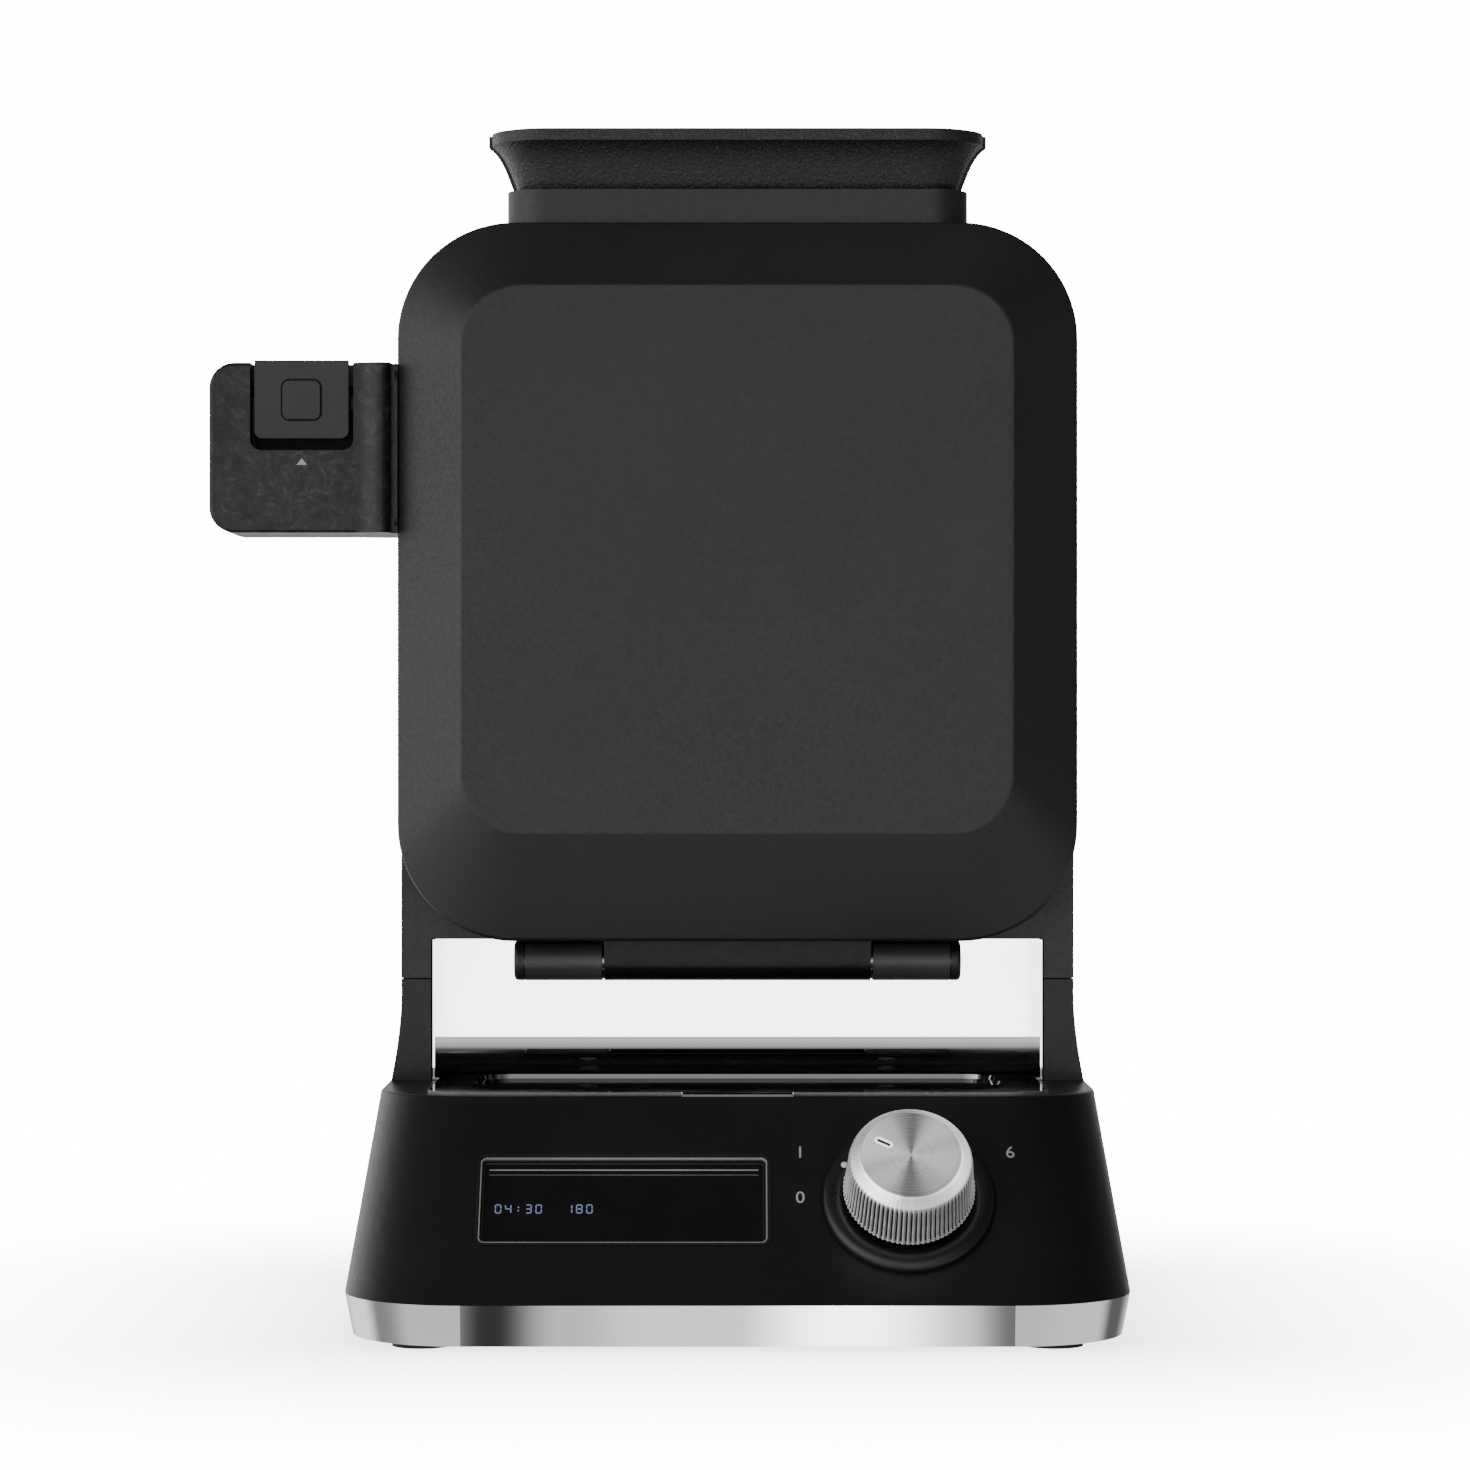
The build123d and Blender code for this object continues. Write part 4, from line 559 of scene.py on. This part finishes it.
# Faces in the rib grooves take the near-black copy, painted shade; the foot and bevel rows take the bright
# copy, painted highlight
for face in knob.data.polygons[:-2]:
    row, step = divmod(face.index, RIBS * STEPS_A_RIB)
    if row in GROOVE_ROWS and step % STEPS_A_RIB in GROOVE_STEPS:
        face.material_index = GROOVE
    elif row < FOOT_ROWS or row == BEVEL_ROW:
        face.material_index = BEVEL
    elif row < BEVEL_ROW:
        face.material_index = SKIRT
    else:
        face.material_index = FACE
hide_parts("knob_cap")

# The knob's mark: a white rim round a dark slot
MARK_TURN = 152.0
MARK_REACH = 9.0
MARK_FOOT = 24.40
MARK_RIM_TOP = 24.56
MARK_BED_TOP = 24.46
mark_x, mark_y = polar(MARK_REACH, MARK_TURN)
mark_slot = stadium(4.4 * MM, 0.9 * MM)
mark_rim = stadium(6.0 * MM, 2.5 * MM)
band = ring_band(mark_slot, mark_rim, MARK_FOOT * MM, MARK_RIM_TOP * MM)
band = moved(band, mark_x, mark_y, math.radians(MARK_TURN))
mark = piece("knob_mark_rim", *band, MATERIALS["mark_white"], "knob", "mark_white", knob_frame)
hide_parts("knob_pointer")
bed = prism(mark_slot, MARK_FOOT * MM, MARK_BED_TOP * MM)
bed = moved(bed, mark_x, mark_y, math.radians(MARK_TURN))
piece("knob_mark_bed", *bed, MATERIALS["board_black"], "knob", "board_black", knob_frame)


# Plain numbers round the dial; a digit's height is CAPITAL_SHARE of its font's size

CAPITAL_SHARE = 0.72
NUMBER_HEIGHT = 4.2
INK_LIFT = 0.03


def number(name, text, x, drop):
    """A printed number on the slope, centred at x and drop, in millimetres."""
    curve = bpy.data.curves.new(name + "_curve", "FONT")
    curve.body = text
    curve.size = NUMBER_HEIGHT * MM / CAPITAL_SHARE
    curve.align_x = "CENTER"
    curve.align_y = "CENTER"
    curve.offset = 0.02 * MM
    curve.extrude = INK_LIFT * MM
    source = bpy.data.objects.new(name + "_source", curve)
    bpy.context.scene.collection.objects.link(source)
    bpy.context.view_layer.update()
    mesh = bpy.data.meshes.new_from_object(source)
    bpy.data.objects.remove(source)
    mesh.materials.clear()
    mesh.materials.append(INK_GREY)
    placed(name, mesh, "stand", slope_matrix(x * MM, drop * MM, INK_LIFT * MM))


number("scale_one", "1", 18.9, 20.5)
number("scale_six", "6", 82.5, 20.5)
number("scale_zero", "0", 18.8, 36.7)

# Dial ring, with its dot; its notch and the groove round it are near-black pieces, painted shade
DIAL_RADIUS = 26.0
DIAL_TOP = 3.8
DIAL_STEPS = 180
DIAL_PROFILE = [
    (7.0, 0.0), (DIAL_RADIUS, 0.0), (DIAL_RADIUS, 1.0), (25.85, 1.75), (25.4, 2.5), (24.8, 3.05),
    (24.0, 3.45), (23.2, 3.66), (22.4, 3.72), (21.6, 3.66), (20.8, 3.5), (20.0, 3.25), (19.2, 2.95),
    (18.0, 2.5), (7.0, 2.4),
]
vertices = turned([(r * MM, h * MM) for r, h in DIAL_PROFILE], DIAL_STEPS)
faces = wall_faces(len(DIAL_PROFILE), DIAL_STEPS, closed=True)
ring = piece("dial_ring_fine", vertices, faces, DIAL_BLACK, "stand", "base_black", knob_frame, smooth=True)
ring.data.set_sharp_from_angle(angle=math.radians(50))
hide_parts("dial_ring")
# Painted shade: a flat near-black band where the groove round the ring is
groove = ring_band(circle((DIAL_RADIUS + 0.05) * MM), circle((DIAL_RADIUS + 0.6) * MM), 0.0, 0.04 * MM)
piece("dial_groove_shade", *groove, PAINTED_SHADE_BLACK, "stand", "base_black", knob_frame)

dome = [(1.15 * MM, 0.0), (1.10 * MM, 0.95 * MM), (0.85 * MM, 1.18 * MM), (0.45 * MM, 1.31 * MM),
        (0.10 * MM, 1.33 * MM)]
dot = moved(lathe(dome, 24), *polar(21.7, 152.0), lift=(DIAL_TOP - 1.1) * MM)
piece("dial_dot", *dot, MATERIALS["mark_white"], "stand", "mark_white", knob_frame, smooth=True)
# Painted shade: a near-black block in the ring where the notch is
notch = prism(stadium(2.2 * MM, 0.7 * MM), (DIAL_TOP - 0.9) * MM, (DIAL_TOP + 0.04) * MM)
notch = moved(notch, *polar(22.5, 181.0), turn=math.radians(28.0))
piece("dial_notch_shade", *notch, PAINTED_SHADE_BLACK, "stand", "base_black", knob_frame)

# Display: stepped frame round the sunk pane, and lit digits on it
WINDOW_X = -34.35
WINDOW_WIDTH = 86.7
WINDOW_HEIGHT = 30.6
WINDOW_MIDDLE = 22.0 + WINDOW_HEIGHT / 2
WINDOW_RECESS = 2.4
WINDOW_CORNER = 2.0
LEAST_CORNER = 0.4


def window_box(grow):
    """Outline of the window, larger by grow millimetres all round."""
    radius = max(WINDOW_CORNER + grow, LEAST_CORNER)
    return rounded_box((WINDOW_WIDTH / 2 + grow) * MM, (WINDOW_HEIGHT / 2 + grow) * MM, radius * MM, 8)


window_frame = slope_matrix(WINDOW_X * MM, WINDOW_MIDDLE * MM, 0.0)
bezel_dark = MATERIALS["bezel_dark"]
# The groove round the frame is a near-black band, painted shade, and the trim is a grey ring on the lip, a
# painted highlight line
for ring_name, inside, outside, low, high, material, slot, edge in (
        ("bezel_groove_shade", 1.05, 1.55, 0.0, 0.03, PAINTED_SHADE_BLACK, "base_black", None),
        ("bezel_step_outer", -0.75, 0.05, -WINDOW_RECESS, -0.95, bezel_dark, "bezel_dark", 0.22),
        ("bezel_painted_highlight", -0.46, -0.10, -0.98, -0.18, PAINTED_HIGHLIGHT_GREY, "bezel_dark", None),
        ("bezel_step_inner", -1.45, -0.70, -WINDOW_RECESS, -1.75, bezel_dark, "bezel_dark", 0.22)):
    ring = ring_band(window_box(inside), window_box(outside), low * MM, high * MM)
    ring = piece(ring_name, *ring, material, "stand", slot, window_frame)
    if edge is not None:
        softened(ring, edge * MM)

# Painted highlights: grey bars for the bright edges of the recess's upper wall, the lower one dimmer
BAR_LENGTH = WINDOW_WIDTH - 5.2
BAR_RISE = 0.35
for bar_name, below_top, width, material in (
        ("bezel_bar_upper", 3.3, 0.34, PAINTED_HIGHLIGHT_GREY),
        ("bezel_bar_lower", 5.1, 0.24, PAINTED_LIGHT_DIM)):
    bar = prism(stadium(BAR_LENGTH * MM, width * MM, 4), -WINDOW_RECESS * MM, (BAR_RISE - WINDOW_RECESS) * MM)
    bar = moved(bar, 0.0, (WINDOW_HEIGHT / 2 - below_top) * MM)
    softened(piece(bar_name, *bar, material, "stand", "bezel_dark", window_frame), 0.05 * MM)

# Lit segments of each digit that is shown
SEGMENTS = {"0": "abcdef", "1": "bc", "3": "abgcd", "4": "fgbc", "8": "abcdefg"}


def digit_parts(text, height, width, pitch):
    """Lit segments of a row of digits, from the left end, on the pane."""
    bar = height * 0.13
    lift = INK_LIFT * MM
    places = {
        "a": (0, height / 2, 0), "d": (0, -height / 2, 0), "g": (0, 0, 0),
        "f": (-width / 2, height / 4, 90), "b": (width / 2, height / 4, 90),
        "e": (-width / 2, -height / 4, 90), "c": (width / 2, -height / 4, 90),
    }
    parts = []
    for index, mark in enumerate(text):
        if mark == ":":
            for y in (-height / 5, height / 5):
                parts.append(moved(prism(circle(bar * 0.7, 12), 0.0, lift), index * pitch, y))
        for key in SEGMENTS.get(mark, ""):
            x, y, turn = places[key]
            length = width if turn == 0 else height / 2
            shape = prism(stadium(length - bar * 0.5, bar, 4), 0.0, lift)
            parts.append(moved(shape, index * pitch + x, y, math.radians(turn)))
    return merged(*parts)


digits = digit_parts("04:30  180", height=2.9 * MM, width=1.6 * MM, pitch=3.05 * MM)
digit_frame = slope_matrix(-72.0 * MM, 39.1 * MM, (0.02 - WINDOW_RECESS) * MM)
piece("display_digits", *digits, LIT, "stand", "mark_white", digit_frame)

# Small triangle on the handle's front face
HANDLE_X = -137.5
HANDLE_FRONT = -20.0
TRIANGLE_LEVEL = 269.8
corners = [(-1.7, -1.05), (1.7, -1.05), (0.0, 1.05)]
triangle = prism([(x * MM, y * MM) for x, y in corners], 0.0, INK_LIFT * MM)
handle_face = front_matrix(HANDLE_X, HANDLE_FRONT, TRIANGLE_LEVEL)
piece("handle_triangle", *triangle, INK_GREY, "lid", "mark_white", handle_face)

# Painted shade: a near-black sheet on the floor of the latch pocket, below the hook's slot, where shade falls
POCKET_X = -137.55
POCKET_FLOOR = -11.0
POCKET_SHADE_WIDTH = 32.0
POCKET_SHADE_HEIGHT = 12.9
POCKET_SHADE_LEVEL = 280.15
POCKET_SHADE_CORNER = 3.1
POCKET_SHADE_UPPER_CORNER = 0.4
POCKET_SHADE_RISE = 0.3
shade_outline = rounded_box(POCKET_SHADE_WIDTH / 2 * MM, POCKET_SHADE_HEIGHT / 2 * MM, POCKET_SHADE_CORNER * MM, 6,
                          POCKET_SHADE_UPPER_CORNER * MM)
pad = prism(shade_outline, 0.0, POCKET_SHADE_RISE * MM)
pocket_face = front_matrix(POCKET_X, POCKET_FLOOR, POCKET_SHADE_LEVEL)
pad = piece("pocket_shade_sheet", *pad, PAINTED_SHADE_BLACK, "lid", "handle_plastic", pocket_face)
softened(pad, 0.08 * MM)

# Painted shade: a dim strip on the deck in front of the drip sheet's front edge and of its tab, where the gap
# under the sheet is shaded
LINER_HALF_WIDTH = 95.4
LINER_FRONT = -58.0
LINER_CORNER = 12.0
TAB_HALF_WIDTH = 17.0
TAB_FRONT = -62.46
TAB_GAP_SHADE_DEPTH = 0.44
TAB_GAP_SHADE_TOP = 73.54
GAP_SHADE_FOOT = 72.9
GAP_SHADE_TOP = 73.86
GAP_SHADE_STEPS = 12


def gap_shade_path(grow):
    """Points along the sheet's front edge from the left to the tab, larger by grow millimetres."""
    middle_x = LINER_CORNER - LINER_HALF_WIDTH
    middle_y = LINER_FRONT + LINER_CORNER
    radius = LINER_CORNER + grow
    points = []
    for step in range(GAP_SHADE_STEPS + 1):
        angle = math.pi + math.pi / 2 * step / GAP_SHADE_STEPS
        points.append((middle_x + radius * math.cos(angle), middle_y + radius * math.sin(angle)))
    points.append((-TAB_HALF_WIDTH - 0.1, LINER_FRONT - grow))
    return points


def turned_left(outline):
    """The outline with its points counterclockwise."""
    area = sum(a[0] * b[1] - b[0] * a[1] for a, b in zip(outline, outline[1:] + outline[:1]))
    return outline if area > 0 else outline[::-1]


left_gap_shade = [(x * MM, y * MM) for x, y in gap_shade_path(0.06) + gap_shade_path(0.50)[::-1]]
right_gap_shade = [(-x, y) for x, y in reversed(left_gap_shade)]
tab_half = TAB_HALF_WIDTH * MM
tab_near = (TAB_FRONT - TAB_GAP_SHADE_DEPTH) * MM
tab_far = TAB_FRONT * MM
tab_gap_shade = [(-tab_half, tab_near), (tab_half, tab_near), (tab_half, tab_far), (-tab_half, tab_far)]
gap_shade = merged(prism(turned_left(left_gap_shade), GAP_SHADE_FOOT * MM, GAP_SHADE_TOP * MM),
              prism(turned_left(right_gap_shade), GAP_SHADE_FOOT * MM, GAP_SHADE_TOP * MM),
              prism(tab_gap_shade, GAP_SHADE_FOOT * MM, TAB_GAP_SHADE_TOP * MM))
# The strip is painted shade of the gap under the sheet
piece("liner_gap_shade", *gap_shade, PAINTED_LIGHT_DIM, "stand", "base_black", Matrix.Identity(4))

# Painted shade: a near-black bed in the gap round the pad on the button
BADGE_LEVEL = 289.2
BADGE_GAP_FLOOR = -19.9
BADGE_GAP_RISE = 0.45


def badge_box(grow):
    """Outline of the pad on the latch button, larger by grow millimetres all round."""
    return rounded_box((6.0 + grow) * MM, (6.2 + grow) * MM, (2.2 + grow) * MM, 6)


bed_face = front_matrix(POCKET_X, BADGE_GAP_FLOOR, BADGE_LEVEL)
bed = ring_band(badge_box(0.03), badge_box(0.47), 0.0, BADGE_GAP_RISE * MM)
piece("badge_gap_shade", *bed, PAINTED_SHADE_BLACK, "latch", "handle_plastic", bed_face)

# Camera, with its place in metres: level and straight ahead, as the photograph's
CAMERA_PLACE = (-0.0008, -1.4, 0.1835)
CAMERA_LENS = 107.1
CAMERA_SENSOR = 36.0
camera_data = bpy.data.cameras.new("camera")
camera_data.lens = CAMERA_LENS
camera_data.sensor_width = CAMERA_SENSOR
camera = bpy.data.objects.new("camera", camera_data)
camera.location = CAMERA_PLACE
camera.rotation_euler = (math.radians(90), 0.0, 0.0)
bpy.context.scene.collection.objects.link(camera)
bpy.context.scene.camera = camera

# Floor, in metres: its glow is dimmer round the part's foot, a painted contact shadow, and rises to the white
# of the background
FLOOR_HALF = 6.0
FLOOR_GLOW_IN_PAINTED_SHADOW = 3.2
FLOOR_GLOW_FAR = 16.0
PAINTED_SHADOW_FADE_START = 0.02
PAINTED_SHADOW_FADE_END = 0.24
FOOTPRINT_HALF = (0.095, 0.070, 0.0)


def stage_floor():
    """White glowing floor that runs far behind, with a painted shadow round the part's foot."""
    mesh = bpy.data.meshes.new("floor")
    corners = [(-FLOOR_HALF, -FLOOR_HALF, 0), (FLOOR_HALF, -FLOOR_HALF, 0), (FLOOR_HALF, FLOOR_HALF, 0),
               (-FLOOR_HALF, FLOOR_HALF, 0)]
    mesh.from_pydata(corners, [], [(0, 1, 2, 3)])
    look = Look("floor", Roughness=0.9, Specular_IOR_Level=0.1)
    look.colour(look.ramp(look.noise(0.5, 2.0), (0.3, 0.88), (0.7, 0.90)))
    look.shader.inputs["Emission Color"].default_value = (1, 1, 1, 1)
    # Painted shadow: the glow drops towards the footprint
    near = look.add("ShaderNodeVectorMath", operation="ABSOLUTE")
    look.join(look.coords.outputs["Object"], near.inputs[0])
    past = look.add("ShaderNodeVectorMath", operation="SUBTRACT")
    look.join(near.outputs["Vector"], past.inputs[0])
    past.inputs[1].default_value = FOOTPRINT_HALF
    beyond = look.add("ShaderNodeVectorMath", operation="MAXIMUM")
    look.join(past.outputs["Vector"], beyond.inputs[0])
    distance = look.add("ShaderNodeVectorMath", operation="LENGTH")
    look.join(beyond.outputs["Vector"], distance.inputs[0])
    glow = look.spread(distance.outputs["Value"], FLOOR_GLOW_IN_PAINTED_SHADOW, FLOOR_GLOW_FAR,
                       PAINTED_SHADOW_FADE_START, PAINTED_SHADOW_FADE_END)
    look.join(glow, look.shader.inputs["Emission Strength"])
    mesh.materials.append(look.material)
    obj = bpy.data.objects.new("floor", mesh)
    bpy.context.scene.collection.objects.link(obj)
    obj.visible_glossy = False
    obj.visible_diffuse = False


stage_floor()

# Light: a soft studio drawn as a smooth surround, with levels of its bright cards
FRONT_LEVEL = 1.42
LOW_CARD = 6.5
BAND_CARD = 5.5
BACKGROUND_LEVEL = 16.0


def surround():
    """Brighter in front and on the left, darker above, below and on the right; white where seen directly."""
    world = bpy.data.worlds.new("studio")
    bpy.context.scene.world = world
    world.use_nodes = True
    nodes = world.node_tree.nodes
    links = world.node_tree.links
    nodes.clear()
    coords = nodes.new("ShaderNodeTexCoord")
    parts = nodes.new("ShaderNodeSeparateXYZ")
    links.new(coords.outputs["Generated"], parts.inputs["Vector"])
    x, y, z = (parts.outputs[axis] for axis in "XYZ")

    def smooth(source, start, end, low, high):
        node = nodes.new("ShaderNodeMapRange")
        node.interpolation_type = "SMOOTHSTEP"
        node.inputs["From Min"].default_value = start
        node.inputs["From Max"].default_value = end
        node.inputs["To Min"].default_value = low
        node.inputs["To Max"].default_value = high
        links.new(source, node.inputs["Value"])
        return node.outputs["Result"]

    def combined(operation, a, b):
        node = nodes.new("ShaderNodeMath")
        node.operation = operation
        for socket, value in zip(node.inputs, (a, b)):
            if isinstance(value, (int, float)):
                socket.default_value = value
            else:
                links.new(value, socket)
        return node.outputs["Value"]

    def product(*factors):
        result = factors[0]
        for factor in factors[1:]:
            result = combined("MULTIPLY", result, factor)
        return result

    def window(source, low, high, soft):
        """One between low and high, zero outside, with soft edges."""
        rise = smooth(source, low - soft, low + soft, 0.0, 1.0)
        fall = smooth(source, high - soft, high + soft, 1.0, 0.0)
        return product(rise, fall)

    def dimmed(level, mask, share):
        """A level brought down to a share of itself where the mask is one."""
        return product(level, combined("SUBTRACT", 1.0, product(mask, 1.0 - share)))

    in_front = smooth(y, -0.35, 0.10, 1.0, 0.0)
    left = smooth(x, -0.70, -0.15, 1.9, 1.0)
    right = smooth(x, 0.25, 0.70, 1.0, 0.17)
    above = smooth(z, 0.20, 0.70, 1.0, 0.07)
    below = smooth(z, -0.85, -0.55, 0.2, 1.0)
    nearer = smooth(y, -0.35, 0.15, FRONT_LEVEL, 1.0)
    level = product(left, right, above, below, nearer)
    # A flag that the lid's front panel mirrors, and a bright card that the steel panel mirrors
    flag = product(in_front, window(x, -0.085, 0.085, 0.02), window(z, 0.035, 0.42, 0.03))
    level = dimmed(level, flag, 0.66)
    low_card = product(in_front, window(x, -0.075, 0.075, 0.012), window(z, -0.085, -0.03, 0.01))
    level = combined("ADD", level, product(low_card, LOW_CARD))
    # Bright and dark cards that the steel band mirrors, from the left to the right
    strip = combined("ADD", 1.0, product(window(x, -0.045, 0.055, 0.006), 0.7))
    strip = combined("ADD", strip, product(window(x, 0.012, 0.040, 0.012), BAND_CARD))
    strip = dimmed(strip, window(x, -0.065, -0.046, 0.008), 0.06)
    strip = dimmed(strip, window(x, -0.046, -0.028, 0.010), 0.6)
    strip = dimmed(strip, window(x, 0.057, 0.074, 0.006), 0.26)
    strip = product(strip, smooth(x, -0.97, -0.75, 0.3, 1.0), smooth(x, 0.3, 0.9, 1.0, 1.2))
    in_strip = product(window(z, -0.62, -0.31, 0.03), smooth(y, 0.1, 0.5, 1.0, 0.0))
    level = combined("ADD", dimmed(level, in_strip, 0.0), product(strip, in_strip))
    seen = nodes.new("ShaderNodeBackground")
    seen.inputs["Color"].default_value = (1, 1, 1, 1)
    seen.inputs["Strength"].default_value = BACKGROUND_LEVEL
    lit = nodes.new("ShaderNodeBackground")
    links.new(level, lit.inputs["Strength"])
    path = nodes.new("ShaderNodeLightPath")
    mix = nodes.new("ShaderNodeMixShader")
    links.new(path.outputs["Is Camera Ray"], mix.inputs["Fac"])
    links.new(lit.outputs["Background"], mix.inputs[1])
    links.new(seen.outputs["Background"], mix.inputs[2])
    output = nodes.new("ShaderNodeOutputWorld")
    links.new(mix.outputs["Shader"], output.inputs["Surface"])


def panel_light(name, place, target, width, height, watts, glossy=True, only=None):
    """Soft rectangular light, which may be kept to some pieces."""
    data = bpy.data.lights.new(name, "AREA")
    data.shape = "RECTANGLE"
    data.size = width
    data.size_y = height
    data.energy = watts
    obj = bpy.data.objects.new(name, data)
    obj.location = place
    obj.rotation_euler = (Vector(target) - Vector(place)).to_track_quat("-Z", "Y").to_euler()
    obj.visible_glossy = glossy
    bpy.context.scene.collection.objects.link(obj)
    if only is not None:
        lit_pieces = bpy.data.collections.new(name + "_pieces")
        for obj_lit in only:
            lit_pieces.objects.link(obj_lit)
        obj.light_linking.receiver_collection = lit_pieces


surround()
panel_light("overhead", (0.0, -0.2, 2.2), (0.0, 0.0, 0.0), 2.6, 2.6, 26.0, glossy=False)

# Lights for the knob and its mark alone, in metres, on a line turned round the knob's axis
KNOB_LIGHT_TURN = math.radians(22.0)
KNOB_LIGHT_AWAY = 1.0
KNOB_LIGHT_ASIDE = 0.75
HIGH_RISE = 0.62
knob_middle = slope_point(KNOB_X, KNOB_DROP, 0.0245)
for name, side, rise, watts in (
        ("knob_left", -1, 0.0, 16.0),
        ("knob_right", 1, 0.0, 16.0),
        ("knob_left_high", -1, HIGH_RISE, 7.0),
        ("knob_right_high", 1, HIGH_RISE, 9.0)):
    across = Vector((side * math.cos(KNOB_LIGHT_TURN), 0.0, 0.0))
    across -= SLOPE_DOWN * side * math.sin(KNOB_LIGHT_TURN)
    place = knob_middle + SLOPE_OUT * KNOB_LIGHT_AWAY + across * KNOB_LIGHT_ASIDE - SLOPE_DOWN * rise
    panel_light(name, place, knob_middle, 1.1, 1.2, watts, only=(knob, mark))
